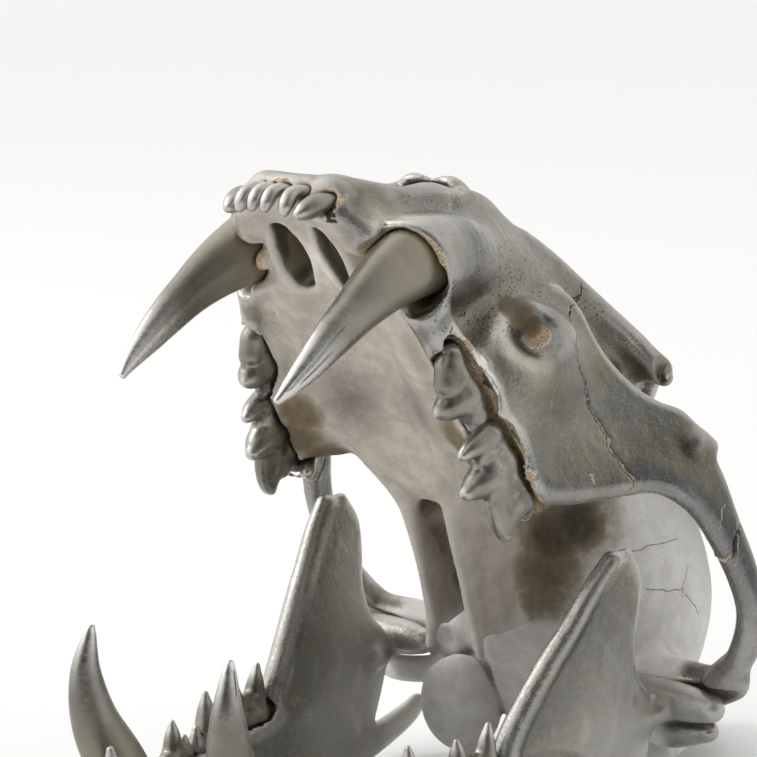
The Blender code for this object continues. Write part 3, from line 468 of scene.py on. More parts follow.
def add_braincase(f):
    w = BRAIN_HALF_WIDTH
    f.add(Trunk([(96, 18, 14, 77, .7, 2.3), (110, 19.5, 15, 80.5, .72, 2.2), (122, 20, 15, 82, .6, 2.1),
                 (134, 25.5, 15, 82, .5, 2.1), (147, w - 3.5, 14, 81, .46, 2.1), (160, w, 13, 79.5, .44, 2.1),
                 (174, w, 12, 77, .42, 2.1), (187, 31, 11, 72, .42, 2.1), (198, 25, 12, 64, .4, 2.1),
                 (206, 18, 14, 54, .4, 2.1)]), 8)


def add_forehead(f):
    """The shelf over the eye, ending in the frontal bone's point."""
    f.add(Strap([(14, 56, 53.5, 4, 56, 52, 4), (15.5, 64, 58, 5, 65, 58, 4), (18, 75, 62.5, 6, 76, 64, 4),
                 (21.8, 84, 65.5, 8, 86, 68, 3.6), (27, 94, 67.5, 10, 98, 71, 3.4),
                 (31.5, 101, 67.5, 10, 108, 73, 3.2)]), 5)
    f.add(Rod([(22, 99, 70, 5), (29, 102, 69, 3.4), (BROW_HALF_WIDTH - 1, 103.5, 66.5, 2.2)]), 3)


def add_canine_root(f):
    """The swelling over the canine's root, and the rim that its crown comes out of."""
    f.add(Rod([(25.4, 22.6, 6, 10.4), (25.6, 26, 13, 10.6), (23, 34, 24, 9.2), (20, 45, 36, 6.2),
               (17, 56, 46, 3.5)], flat=(1.2, 1, 1)), 6)
    f.cut(Strap([(34, 13, 6, 18, 13, 0.3, 5), (34, 20, 4.6, 18, 20, -1.1, 5),
                 (34, 26, 3.4, 18, 26, -2.3, 5)]), 1.2)


def add_premaxilla(f):
    """The bone that holds the incisors, the nose's rim, and the slope from it to the canine's root."""
    f.add(Rod([(0, 3.5, 2.6, 3.6), (7, 4, 2.6, 3.8), (13, 6.6, 3, 4.2), (17, 13, 4, 5)]), 2)
    f.add(Strap([(0, 1.8, 3.1, 0, 7, 10.3, 4.2), (6.5, 3.2, 5.4, 6.5, 8, 11.3, 4.2),
                 (11, 4.3, 6.4, 11.5, 8.2, 11.4, 4.2), (15.5, 11, 8, 15.3, 12, 13.5, 4)]), 2)
    f.add(Rod([(12.2, 7, 10, 3.6), (14, 10.5, 15.1, 3), (15.3, 15.9, 20.7, 3), (15.3, 18, 24.8, 3),
               (15.2, 20, 29.1, 2.8), (14.4, 24.3, 34.3, 2.7), (13.2, 28.3, 39, 2.5), (11.6, 31.6, 43, 2.3),
               (9.6, 32.6, 46.4, 2.2), (6, 30.6, 47.3, 2.1), NOSE_TIP + (2,)]), 2)
    f.add(Rod([(15.4, 15.4, 14, 4), (15, 19.8, 21, 4.2), (14.4, 24.4, 29, 4)]), 5)


def add_tooth_row(f):
    """The edge that holds the cheek teeth, cut back to the height of each socket."""
    f.add(Rod([(27.5, 36, 3.5, 4), (30, 46, 3.5, 5), (32.3, 57, 3.2, 5.6), (34.6, 70, 3.2, 5.8),
               (36.4, 82, 2.6, 5.4), (37, 90, 2, 4.6)]), 4)
    f.cut(Strap([(32.4, 42, 2.8, 46, 38, -3, 2), (33.8, 49, 3, 48, 45, -3, 2.4),
                 (36, 56.5, 3, 50, 52, -3, 2.6), (37.8, 63, 0.6, 50, 60, -3, 1.8),
                 (37.6, 69.5, 2.6, 52, 66, -3, 2.4), (38.6, 78, 2.8, 53, 77, -3, 2.5),
                 (39.8, 86, 2.4, 54, 87, -3, 2.5), (38.6, 92.5, 1.2, 48, 102, -3, 2)]), 0.6)


def add_cheek_arch(f):
    """The cheek bone's plate and the arch behind it: upper edge, lower edge, radius."""
    w = ARCH_HALF_WIDTH - 3.2
    f.add(Strap([(27, 62, 44, 31, 62, 8, 4.5), (33, 69, 43, 35, 72, 6, 4.5), (39, 76, 41.4, 39, 80, 3, 4.5),
                 (45, 83, 42.4, 43.4, 87, 5.5, 4.2), (51, 90, 43, 49.6, 93.5, 15.6, 3.8),
                 (57.5, 97.5, 41, 57, 99, 25.6, 3.4), (63.2, 107, 38.2, 63, 107, 29, 3.1),
                 (w - 3.8, 118, 34.4, w - 4, 118, 29.6, 3), (w - 0.6, 130, 31.4, w - 0.6, 130, 28, 2.9),
                 (w - 0.2, 142, 28.6, w - 0.2, 142, 26, 2.9), (w - 3.4, 153, 25.2, w - 3.6, 153, 21.4, 3.3),
                 (w - 10, 161, 22.4, w - 10.2, 161, 18.4, 4)]), 4)
    f.add(Rod([(60, 99, 40, 4), (61.8, 102, 43, 2.2)]), 3)


def add_arch_root(f):
    """The temporal bone's root over the jaw joint."""
    f.add(Rod([(63, 162, 20, 4.2), (54, 167, 20, 4.8), (43, 169, 20.5, 5.6), (31, 170, 22, 7)]), 4)
    f.add(Strap([(62, 164, 22, 32, 166, 26, 2.4), (54, 172, 25, 33, 177, 31, 2.8),
                 (35, 190, 26, 32, 190, 30, 3)]), 4)


def add_crests(f):
    """The ridges from the frontal bone's points to the middle, the crest on top and the one behind."""
    f.add(Rod([(31, 104, 70, 2.2), (20, 115, 77, 2), (9, 130, 80.5, 2), (1, 146, 82, 2)]), 3)
    f.add(Strap([(29, 104, 71, 18, 100, 72, 1.3), (24, 109.5, 74.2, 16, 106, 74, 1.3),
                 (19.6, 115, 76.4, 14, 112, 75, 1.4), (15, 122, 77.8, 10, 119, 75, 1.5),
                 (9.5, 129, 79.8, 6, 126, 77, 1.5)]), 3)
    f.add(Plate([(136, 76), (146, 83), (168, CREST_TOP), (192, 81.5), (212, 76), (SKULL_LENGTH - 2, 70.5),
                 (SKULL_LENGTH - 4, 60), (200, 60), (165, 70)], 0, 1.5), 6)
    f.add(Strap([(0, 222, 69, 0, 206, 60, 2.6), (10, 219, 65, 8, 203, 56, 2.6),
                 (20, 212, 56, 16, 199, 48, 2.6), (28, 204, 42, 22, 194, 38, 2.6),
                 (32.5, 197, 27, 27, 190, 27, 3), (34, 191, 16, 29, 187, 18, 4)]), 4)


def add_skull_base(f):
    """Occiput, its two rolls, the ear capsule and the bar between them."""
    f.add(Rod([(0, 206, 50, 12), (0, 198, 34, 18)]), 8)
    f.add(Ball((13, 206, 19), (7.2, 7.2, 9.5), 20), 3)
    f.add(Ball((23, 180, 7), (11, 16, 11), -12), 2.5)
    f.add(Rod([(30, 192, 15, 6), (27, 197, 5, 3.2)]), 3)
    f.add(Strap([(5, 150, 16, 0, 150, 16, 3), (8, 170, 14, 0, 170, 14, 3), (9, 198, 14, 0, 200, 14, 4)]), 4)


def add_pterygoid(f):
    """The thin wall beside the inner nostril: lower edge, upper edge, radius."""
    f.add(Strap([(14, 90, 9, 16, 90, 22, 4), (8.2, 100, 6, 14, 100, 24, 3), (6.8, 108, 3.2, 12, 108, 22, 2.1),
                 (6.6, 120, 0.4, 11, 121, 20, 1.7), (6.8, 130, -2.2, 11, 134, 19, 1.6),
                 (7.4, 137, -4.2, 11.5, 146, 18, 1.5)]), 2.5)
    f.add(Rod([(7.4, 136, -4, 1.5), (8.4, 141, -6.5, 1.2)]), 1)


def cut_jaw_joint(f):
    """The lip behind the joint's hollow, and the hollow."""
    f.add(Rod([(33, 173.4, 11, 3.8), (46, 174.4, 9.5, 3.6), (57, 172.8, 12, 3)]), 2.5)
    r = JOINT_HOLLOW_RADIUS
    f.cut(Rod([(x, JOINT[1], JOINT[2], r) for x in (30, CONDYLE_HALF_SPAN + 10)]), 1.2)


def cut_palate(f):
    """The vaulted palate, its two slits behind the incisors and the inner nostril."""
    f.cut(Ball((0, 60, -12), (23, 50, 19)), 3)
    f.cut(Ball((0, 20, -8), (13.5, 22, 10.5)), 3)
    f.cut(Strap([(6.4, 12, -2, 6.2, 13.5, 18, 2.4), (6.4, 20, -2, 6.2, 20, 18, 4.1),
                 (7, 28, -1, 6.6, 27.5, 18, 2.8)]), 1)
    r = CHOANA_RADIUS
    f.cut(Rod([(0, 104, 4, r - .6), (0, 112, 3, r), (0, 124, 1, r + .4), (0, 140, 0, r + .8),
               (0, 152, -2, r + 1)]), 2)
    f.cut(Rod([(0, 112, 8, 6), (0, 98, 14, 6), (0, 80, 19, 6), (0, 60, 23, 7)]), 2)


def cut_orbit(f):
    """The eye socket and the gap behind it for the chewing muscle."""
    f.cut(Ball(ORBIT_CENTRE, ORBIT_RADII), 3)
    f.cut(Ball((36, 102, 36), (16.5, 18, 27)), 4)
    f.cut(Ball((44, 120, 36), (20, 22, 24)), 3)
    r = CHEEK_CANAL_RADIUS
    f.cut(Rod([(39, 52, 23.4, r - 1.4), (36.8, 57.5, 25.4, r - .6), (34, 67, 28, r - .6),
               (34, 84, 34, r)]), 3)
    f.cut(Ball((41.5, 50.5, 24), (6.4, 8, 8)), 6)
    f.add(Ball((34, 63.4, 27.6), (9, 5.4, 9)), 3)  # the plug


def cut_nose_and_foramen(f):
    f.cut(Rod([(0, 0, 30, 9), (0, 9, 27.5, 10), (0, 20, 31, 11.5), (0, 40, 34, 12), (0, 66, 36, 9)],
              flat=(1, 1, 0.85)), 1.5)
    r = FORAMEN_MAGNUM_RADIUS
    f.cut(Rod([(0, 216, 25, r), (0, 200, 25, r), (0, 184, 29, r)], flat=(0.9, 1, 1)), 1.5)


def skull_field():
    f = Field((0, -8, -24), (84, 238, 96), BONE_STEP)
    for shape in (add_face, add_braincase, add_forehead, add_canine_root, add_premaxilla, add_tooth_row,
                  add_cheek_arch, add_arch_root, add_crests, add_skull_base, add_pterygoid, cut_jaw_joint,
                  cut_palate, cut_orbit, cut_nose_and_foramen):
        shape(f)
    up = skull_pose().to_3x3().inverted() @ Vector((0, 0, 1))
    floor = skull_pose().inverted() @ Vector((0, 0, 0))
    f.trim(floor, up)
    return f


# Bones of the lower jaw: left half, jaw frame

def jaw_field():
    f = Field((-2, -160, -3), (70, 16, 84), BONE_STEP)
    f.add(Strap([(44, -22, 16, 44, -22, 8, 2), (43, -36, 24, 43, -36, 7, 3.6),
                 (39.6, -52, 25.5, 41, -52, 6, 5.2), (36.6, -68, 23.2, 37, -68, 5.8, 6),
                 (33.5, -84, 22.6, 33, -84, 5.6, 6.2),
                 (30, -98, 22.6, 28, -98, 5.6, 6.2), (26, -110, 23.5, 22, -110, 6.5, 6.4),
                 (21.5, -121, 26, 15, -121, 8, 6.8), (17.5, -131, 30, 10, -130, 12, 7.4),
                 (11, -139, 33.5, 8, -136.5, 19, 5.6), (3, -142, 33, 3, -139.5, 22, 4.6)]), 4)
    f.add(Strap([(8, -112, 14, 4, -112, 12, 5), (7, -124, 24, 4, -124, 11, 6),
                 (5, -134, 30, 4, -134, 16, 6)]), 5)
    front = [(47, -27, 76.6), (45.5, -33, 70), (43.8, -38.5, 62), (41.8, -44.5, 54), (39.8, -50.5, 45),
             (38.4, -56, 36), (38.6, -60, 27), (39.5, -60, 17), (41, -56, 8)]
    back = [(47, -20.5, 77), (46.6, -16, 70), (45.8, -15.5, 61), (45, -16, 52), (44.4, -13, 43),
            (44.2, -7, 36), (44.4, -6.5, 29), (44.4, -9, 20), (44, -14, 9)]
    f.add(Strap([u + v + (1.7,) for u, v in zip(front, back)]), 3)
    f.add(Rod([(x + 0.4, y, z, 1.8 + 0.03 * (77 - z)) for x, y, z in front[:7]]), 3)
    r = JOINT_ROLL_RADIUS
    roll = [(35, r - 1.2), (41, r), (52, r), (CONDYLE_HALF_SPAN, r - 1.2)]
    f.add(Rod([(x, 0, JOINT_HEIGHT, radius) for x, radius in roll]), 1.5)
    f.add(Rod([(42, -12, 31, 3.0), (46, -4.5, 32.5, 3.4)]), 3)
    f.add(Rod([(41, -46, 6, 6), (42.5, -26, 6, 5), (43.6, -10, 7.5, 4), (43.6, 3, 11, 3.2),
               (43.2, 8, 14, 2.4)]), 3)
    f.cut(Ball((54.5, -32, 32), (9.6, 21, 24)), 3)
    f.trim((SOCKET_GAP / 2, 0, 0), (1, 0, 0))
    f.trim((0, 0, 0), (0, 0, 1))
    return f


# Teeth of the left side that are fused to their bone, each of rods; upper ones in the skull frame

UPPER_TEETH = {
    "incisor_1": [[(2, 0, 1.6, 1.4), (2, -1.9, -1, 1.6), (2, -2.5, -3.2, 1.75), (2, -1.9, -5.4, 1.7),
                   (2, -1, -6.9, 1.15)]],
    "incisor_2": [[(6.5, 0.4, 2.2, 1.5), (6.6, -1.2, -0.4, 1.7), (6.7, -1.6, -2.6, 1.9),
                   (6.9, -0.9, -4.8, 1.85), (7, 0.1, -6.3, 1.2)]],
    "incisor_3": [[(12.7, 5.4, 6, 1.4), (12.4, 3.2, 2.8, 2), (12, 1.6, -0.6, 2.6), (11.4, 0.9, -3.7, 2.4),
                   (11, 0.6, -6, 1.4)]],
    "premolar_3": [[(30.8, 46, 2.4, 3.2), (31.6, 50.5, 0.6, 3.8), (33, 57, 0, 4.1), (33.4, 61.4, 0.8, 3)],
                   [(31.2, 47.5, 0, 3.2), (31.4, 50.8, -2.4, 3.2)],
                   [(32.4, 55.6, -0.5, 4.4), (31.6, 55.2, -4.8, 3.4), (31, 54.9, -7.6, 1.5)],
                   [(33, 58.8, 0, 2.6), (32.4, 59.4, -2, 1.5)],
                   [(33.8, 61.6, 0, 3.1), (34, 63, -1.6, 1.9)]],
    "premolar_4": [[(35.2, 67.5, 0.6, 3.2), (36.6, 76, -0.6, 3.9), (38, 85, -0.8, 3.7), (37, 89.5, 0.6, 2.6)],
                   [(35.4, 68, -3, 3.1), (36.2, 76, -4.5, 3.8), (37.6, 83, -4.6, 3.4), (37.8, 87.5, -4, 2.8)],
                   [(35.8, 67, -0.5, 3.5), (35.4, 66.2, -5.5, 2.8), (34.9, 65.9, -9.2, 1.5)],
                   [(36.4, 75.4, -0.5, 4.1), (35.6, 75.2, -7, 4.2), (34.7, 75, -12.2, 2.1)],
                   [(38, 84.5, -0.5, 3.8), (38.2, 86, -6, 3.2), (38.3, 89.5, -9.6, 1.8)],
                   [(37.2, 79.5, -7, 2.6), (37.8, 83.5, -9, 2.3), (38.2, 87.5, -10, 2),
                    (38.3, 90.4, -9.6, 1.3)]],
    "molar_1": [[(34.6, 90.5, 3, 2.0), (32.6, 90.3, -0.4, 2.2), (31.6, 90.2, -1.8, 1.2)]]}


def lower_incisor(x, y, tip, r):
    return [[(x, y + 3.0, 33, r), (x, y + 0.6, 39, r * 1.1), (x, y - 0.4, tip - 0.6, r * 0.45)]]


LOWER_TEETH = {
    "incisor_1": lower_incisor(2.0, -144.2, 43.5, 1.4),
    "incisor_2": lower_incisor(5.6, -143.8, 44.2, 1.7),
    "incisor_3": lower_incisor(9.6, -142.6, 45.4, 2.1),
    "premolar_3": [[(28.6, -107, 28, 2.2), (29.6, -102.5, 28.5, 2.8), (30.8, -98, 28, 2.4)],
                   [(29.6, -102.8, 28, 3.0), (29.6, -103, 33.5, 2.1), (29.5, -103.2, 37.6, 0.7)],
                   [(30.8, -98, 28, 2.2), (30.9, -97.8, 32, 1.0)]],
    "premolar_4": [[(31.6, -93, 28, 2.6), (33.4, -87, 28.5, 3.3), (35.2, -81, 28, 2.9)],
                   [(33.4, -87, 28, 3.6), (33.3, -87.4, 35, 2.5), (33.1, -87.8, 40.6, 0.8)],
                   [(35.2, -81, 28, 2.7), (35.3, -80.8, 34, 1.0)],
                   [(31.6, -92.8, 28, 2.4), (31.4, -93, 33, 1.0)]],
    "molar_1": [[(36.2, -76.5, 28, 3.0), (37.4, -69, 28.5, 3.8), (38.6, -61.5, 28.5, 3.2)],
                [(37.0, -73.5, 28, 3.6), (36.8, -73.6, 35, 2.4), (36.6, -74.0, 39.6, 0.8)],
                [(38.0, -65, 28, 3.8), (38.0, -64.4, 36, 2.5), (38.0, -63.6, 41.6, 0.8)],
                [(37.2, -72, 33, 2.3), (37.8, -66.5, 33, 2.3)]]}


# Rows of the canines: x, y, z, radius, from the root to the tip
UPPER_CANINE = [(21, 38, 29, 5.0), (24, 29, 18, 7.2), (24.8, 23.3, 8, 7.9), (24.8, 21.2, 0, 7.3),
                (25.4, 20.3, -8, 6.2), (25.8, 20.1, -16, 5.1), (25.8, 20.2, -24, 4.4),
                (25.8, 20.8, -32, 3.5), (25.3, 21.5, -40, 2.1), (24.4, 22.2, -45.1, 0.8)]
LOWER_CANINE = [(15, -120, 17, 4.6), (17.2, -127, 27, 6.2), (19.4, -132, 37, 6.6), (21.8, -136.4, 48, 5.4),
                (22.8, -138, 59, 3.7), (22.4, -137, 68, 1.7), (22.2, -136.4, 70.6, 0.8)]


# Surfaces and what lies round them

def box_mean(values, cells):
    """The mean over a cube that reaches so many cells each way."""
    for axis in range(3):
        pad = [(0, 0)] * 3
        pad[axis] = (cells + 1, cells)
        line = np.cumsum(np.pad(values, pad, mode="edge"), axis=axis, dtype=np.float32)
        low, high = [slice(None)] * 3, [slice(None)] * 3
        low[axis], high[axis] = slice(0, -2 * cells - 1), slice(2 * cells + 1, None)
        values = (line[tuple(high)] - line[tuple(low)]) / (2 * cells + 1)
    return values


def sample(values, low, step, points):
    """Values of a grid at points between its nodes."""
    place = np.clip((points - low) / step, 0, np.array(values.shape) - 1.001)
    first = place.astype(int)
    part = (place - first).astype(np.float32)
    total = 0
    for corner in CELL_CORNERS:
        share = np.prod(np.abs(1 - np.array(corner) - part), axis=1)
        total = total + share * values[tuple((first + corner).T)]
    return total


def crowding(field, points, reach):
    """How much of a cube round each point is solid: 0.5 on a flat face, up to 1 in a hollow, 0 on a tip."""
    thin = 2
    solid = (field.d[::thin, ::thin, ::thin] < 0).astype(np.float32)
    cell = field.step * thin
    mean = box_mean(solid, max(1, round(reach / cell)))
    return sample(mean, field.low, cell, points)


def relax(points, faces, rounds):
    """Moves each point towards the middle of its neighbours and back, which takes the grid's steps away."""
    edges = np.concatenate([faces[:, [i, (i + 1) % 4]] for i in range(4)])
    count = np.bincount(edges[:, 0], minlength=len(points))
    for weight in RELAXING * rounds:
        mean = [np.bincount(edges[:, 0], points[edges[:, 1], i], len(points)) for i in range(3)]
        points = points + weight * (np.stack(mean, 1) / count[:, None] - points)
    return points


def new_mesh(name, points, faces):
    """A smooth mesh of several arrays of faces, each with its own number of corners."""
    mesh = bpy.data.meshes.new(name)
    mesh.vertices.add(len(points))
    mesh.vertices.foreach_set("co", np.asarray(points, np.float32).ravel())
    corners = np.concatenate([part.ravel() for part in faces]).astype(np.int32)
    sizes = np.concatenate([np.full(len(part), part.shape[1], np.int32) for part in faces])
    mesh.loops.add(len(corners))
    mesh.loops.foreach_set("vertex_index", corners)
    mesh.polygons.add(len(sizes))
    mesh.polygons.foreach_set("loop_start", (np.cumsum(sizes) - sizes).astype(np.int32))
    mesh.update(calc_edges=True)
    mesh.validate()
    mesh.shade_smooth()
    return mesh


def largest(points, faces):
    """Keeps only the connected surface with the most points."""
    parent = np.arange(len(points))
    while True:
        least = parent[faces].min(1)
        before = parent.copy()
        for i in range(faces.shape[1]):
            np.minimum.at(parent, faces[:, i], least)
        parent = parent[parent]
        if (parent == before).all():
            break
    keep = parent == np.bincount(parent).argmax()
    index = np.cumsum(keep) - 1
    return points[keep], index[faces[keep[faces[:, 0]]]], keep


JAW_POSE = Matrix.Identity(4)


def to_world(pose):
    return Matrix.Scale(MM, 4) @ Matrix.Translation((0, JOINT_BACK, 0)) @ pose


def skull_pose():
    """From the skull frame, in millimetres, to the jaw frame."""
    return (Matrix.Translation((0, 0, JOINT_HEIGHT)) @ Matrix.Rotation(math.radians(-GAPE_TILT), 4, "X")
            @ Matrix.Translation(-Vector(JOINT)))


def piece(name, points, faces, pose, material, layers, nodes=()):
    """A visible piece, in place, with its colour layers, that stands for the nodes given."""
    mesh = new_mesh(name, points, faces)
    for layer, values in layers.items():
        colours = mesh.color_attributes.new(layer, "FLOAT_COLOR", "POINT")
        rgba = np.column_stack([values, np.ones(len(values))]).astype(np.float32)
        colours.data.foreach_set("color", rgba.ravel())
    mesh.transform(to_world(pose))
    mesh.materials.append(material)
    made = bpy.data.objects.new(name, mesh)
    bpy.context.scene.collection.objects.link(made)
    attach(made, "root")
    if nodes:
        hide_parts(*nodes)


# Assembling the bones

def smooth_step(low, high, values):
    t = np.clip((values - low) / (high - low), 0, 1)
    return t * t * (3 - 2 * t)


def normals_of(points, faces):
    across = np.cross(points[faces[:, 2]] - points[faces[:, 0]], points[faces[:, 3]] - points[faces[:, 1]])
    total = np.zeros((len(points), 3))
    for k in range(3):
        for i in range(4):
            total[:, k] += np.bincount(faces[:, i], across[:, k], len(points))
    return total / np.maximum(np.linalg.norm(total, axis=1), 1e-9)[:, None]


def near_any(points, places):
    """The most of the balls' strengths at each point. Each is full in the ball's core and fades out."""
    best = np.zeros(len(points))
    for x, y, z, r, strength in places:
        away = np.linalg.norm(points - (x, y, z), axis=1)
        best = np.maximum(best, strength * (1 - smooth_step(*STAIN_FADE, away / r)))
    return best


def painted_light_and_coat_tones(folded):
    """Painted light and shade with uneven coat: how much lighter (over 0.5) or darker the coat is at each
    point.
    """
    total = np.zeros(len(folded))
    for x, y, z, r, change in PAINTED_LIGHT_AND_COAT_TONES:
        away = np.linalg.norm(folded - (x, y, z), axis=1)
        total += change * np.exp(-(away / r) ** 2)
    return np.clip(0.5 + 0.5 * total, 0.1, 1)


def off_rods(points, rods):
    """How far each point is outside the nearest rod."""
    best = np.full(len(points), FAR)
    for rows in rods:
        line = curve_through(rows, 3)
        for a, b in zip(line, line[1:]):
            d = b[:3] - a[:3]
            t = np.clip((points - a[:3]) @ d / max(d @ d, 1e-9), 0, 1)
            away = np.linalg.norm(points - a[:3] - t[:, None] * d, axis=1)
            best = np.minimum(best, away - a[3] - t * (b[3] - a[3]))
    return best


def line_marks(points, normals, lines):
    """Colour layer of fine lines: signed distance beside the nearest, its width and its darkness.

    The distance is signed so that it runs evenly across the line between the mesh's points.
    """
    marks = np.column_stack([np.full(len(points), 1.0), np.zeros(len(points)), np.ones(len(points))])
    nearest = np.full(len(points), LINE_REACH)
    shake = np.random.default_rng(4)
    for darkness, width, places in lines:
        line = curve_through(places, 5)
        line = line + shake.normal(0, LINE_SHAKE, line.shape)
        around = np.flatnonzero(((points > line.min(0) - 3) & (points < line.max(0) + 3)).all(1))
        for a, b in zip(line, line[1:]):
            spots, d = points[around], b - a
            t = np.clip((spots - a) @ d / max(d @ d, 1e-9), 0, 1)
            away = spots - a - t[:, None] * d
            far = np.linalg.norm(away, axis=1)
            across = np.cross(d, normals[around])
            beside = (away * across).sum(1) / np.maximum(np.linalg.norm(across, axis=1), 1e-9)
            closer = far < nearest[around]
            at = around[closer]
            nearest[at] = far[closer]
            marks[at, 0] = np.clip(0.5 + beside[closer] / (2 * LINE_REACH), 0, 1)
            marks[at, 1] = width * (1 - smooth_step(0.9, 1.6, far[closer]))
            marks[at, 2] = darkness
    return marks


# Stains, and painted shade and shadow in hollows and on shaded walls: x (both sides), y, z, radius, strength
# (0.5 ochre, 1 nearly black)
STAINS_AND_SHADE = [(0, 118, 6, 8, 0.6), (0, 135, 6, 9, 0.6), (0, 105, 10, 6, 0.7), (0, 20, 28, 10, 0.9),
           (0, 40, 32, 13, 0.9), (0, 60, 34, 12, 1), (32.8, 50.5, 27, 4.2, 0.72),
           (34.2, 55.6, 27.4, 2.6, 0.6), (34, 78, 32, 8, 0.9), (30, 96, 30, 9, 0.8),
           (26, 84, 30, 8, 0.9), (7, 20, 9, 4, 0.7),
           (15, 133, 21, 9, 0.62), (13.5, 140, 17, 8, 0.5), (17, 126, 26, 8, 0.85), (30.5, 28.5, 7, 4.6, 1),
           (27, 31.5, 7, 4.4, 1), (20, 127, 33, 7, 0.95), (30, 78, -1, 6.5, 0.62), (26, 70, 0, 6, 0.6),
           (28, 90, 4, 8, 0.66), (12, 24, 6, 5, 0.32), (20, 44, 4, 6, 0.16), (10, 12, 2, 4, 0.16),
           (7, 22, 12, 6, 0.7)]
# how dark the painted shadow on the braincase's front wall is
PAINTED_SHADOW_STRENGTH = 0.72
# Where pits are common, the same way
PITTED = [(26, 40, 26, 14, 1), (14, 20, 30, 12, 0.8), (22, 52, 42, 12, 0.8), (30, 40, 8, 8, 1),
          (24, 80, 64, 10, 0.5)]
JAW_PITTED = [(14, -115, 25, 14, 0.8), (24, -95, 24, 12, 0.6)]
# Tan plug in the canal under the eye, with no silver on it: x, y, z, radius
PLUG = (36, 58.4, 26.4, 2.6)
# Painted light and shade, with some uneven coat: x (both sides), y, z, radius, and how much lighter or darker
PAINTED_LIGHT_AND_COAT_TONES = [(32, 32, 22, 9, -0.62), (30, 25, 25, 6, -0.3), (16, 4, 6, 5, -0.4), (37.7, 53.5, 9, 9, 1.25),
         (44.5, 68, 16, 6, -0.3), (68, 110, 33, 14, -0.35), (72, 130, 30, 12, -0.35), (11, 67, 4, 9, -0.5),
         (8, 20, 5, 9, -0.1), (21.6, 12, 8, 5, 1), (48.5, 84, 21, 6, 0.3), (33, 40, 5, 6, 0.2),
         (42, 66, 4, 5, 0.4), (43, 60, 16, 4, 0.5), (41, 64, 32, 4, 0.35), (24, 68, 59, 9, -0.1),
         (59, 95, 36, 8, -0.15), (36, 51, 15, 6, 0.4), (2.5, 22, 4.6, 6, 0.5), (28, 56, 2, 6, -0.3)]
# Painted highlight along the lower edge of the cheek bone and its arch, and a painted shade band above it
HIGHLIGHT_RIDGE = [(39, 80, -1, 0), (43.4, 87, 1.5, 0), (49.6, 93.5, 12, 0), (57, 99, 22.4, 0), (63, 107, 26, 0),
         (66.8, 118, 26.6, 0), (70.2, 130, 25.2, 0), (70.6, 142, 23.2, 0)]
SHADE_BAND_LINE = [(56.2, 93.7, 22.8, 0), (59.7, 97.3, 24.8, 0), (63, 101.9, 26.8, 0), (66.1, 107.5, 28.6, 0),
             (69, 114, 30, 0), (71.5, 121, 30, 0), (73.4, 131, 28, 0), (73.4, 142, 26, 0)]
# Knob of the socket's rim inside the canine, and the room behind it where the socket stands open
CANINE_KNOB = (17.2, 22.8, 3)
KNOB_RADII = (2.4, 2.6, 3.4)
SOCKET_CRESCENT = [(31.4, 25.5, 8, 31.9, 25.5, -5, 2.2), (30, 29.6, 8, 30.4, 29.6, -5, 2.8),
                   (26.4, 31.4, 8, 26.6, 31.4, -5, 2.2)]
# Lines on the left side: darkness (0 a pale thread), half width, places
LINES = [(1, 2.4, [(13.2, -0.4, 1.8), (14.2, 0.3, 1.2)]), (1, 2, [(14.2, 4.4, -0.1), (14.3, 5.8, -0.8)]),
         (1, 1.8, [(14.8, 2, 0.9), (15, 3.2, 0.4)]),
         (1, 1, [(22, 71.4, 62.2), (22.2, 72.4, 60.6), (21.9, 73.4, 57.9)]),
         (0.8, 0.6, [(22, 73.4, 57.9), (22.8, 76.4, 56.6)]),
         (0.55, 0.5, [(26.3, 139, 35), (28.5, 140.9, 39.6), (30.4, 143.5, 45.5), (31.7, 147.5, 51.9)]),
         (0.6, 0.55, [(32.3, 150.8, 35.8), (34, 154.2, 39.5), (35.1, 158.3, 43.9), (35.6, 167.1, 46.4)]),
         (0.5, 0.4, [(35.1, 158.3, 43.9), (34.6, 155.4, 49.5)]),
         (0.05, 0.6, [(67.6, 112.2, 33), (68.6, 114.2, 30.5), (68, 116.6, 27)]),
         (0.05, 0.6, [(70.6, 117.6, 34), (71.4, 121.4, 31), (70.4, 125.4, 27.6)]),
         (0.1, 0.4, [(46, 71, 18), (48, 75.5, 19), (49, 80, 18)]),
         (0, 0.8, [(47.8, 81.2, 17.4), (49.2, 83.6, 16.6)]),
         (0, 0.9, [(49.4, 88.4, 12.8), (49.8, 89.2, 12.4)]),
         (0.15, 0.35, [(44, 66, 17), (45.2, 69, 14), (45.4, 73, 11)]),
         (0.1, 0.35, [(13.7, 48.3, 55.6), (18.2, 51, 52), (22.8, 53.5, 48.3), (27.2, 57, 44.3)]),
         (0.15, 0.45, [(18.1, 15.7, 21.9), (18, 19.1, 27.8), (16.9, 24.2, 34.4), (15.7, 27.6, 38.5)]),
         (0.25, 0.4, [(45, 70, 12), (46.5, 74, 15), (46, 77, 19)]), (0.2, 0.35, [(38, 60, 8), (41, 66, 14)])]


def columns(*values):
    return np.column_stack(np.broadcast_arrays(*values))


def relief_of(field, points, ridge_highlight=0.0):
    """Colour layer of the surface's shape: how closed in it is, and the ridge's painted highlight."""
    return columns(crowding(field, points, FINE_REACH), ridge_highlight, 0.0)


def palate_share(folded, normals):
    """1 on the palate and the inner nostril."""
    x, y, z = folded.T
    row = np.interp(y, (0, 30, 56, 90, 140), (15, 24, 29, 38, 16))
    under = smooth_step(-0.1, 0.4, -normals[:, 2]) * (1 - smooth_step(row - 3, row + 1, x))
    under *= (1 - smooth_step(8, 16, z)) * (1 - smooth_step(140, 150, y))
    inner = smooth_step(88, 96, y) * (1 - smooth_step(138, 150, y)) * (1 - smooth_step(14, 24, x))
    return np.maximum(under, inner * (1 - smooth_step(24, 32, z)))


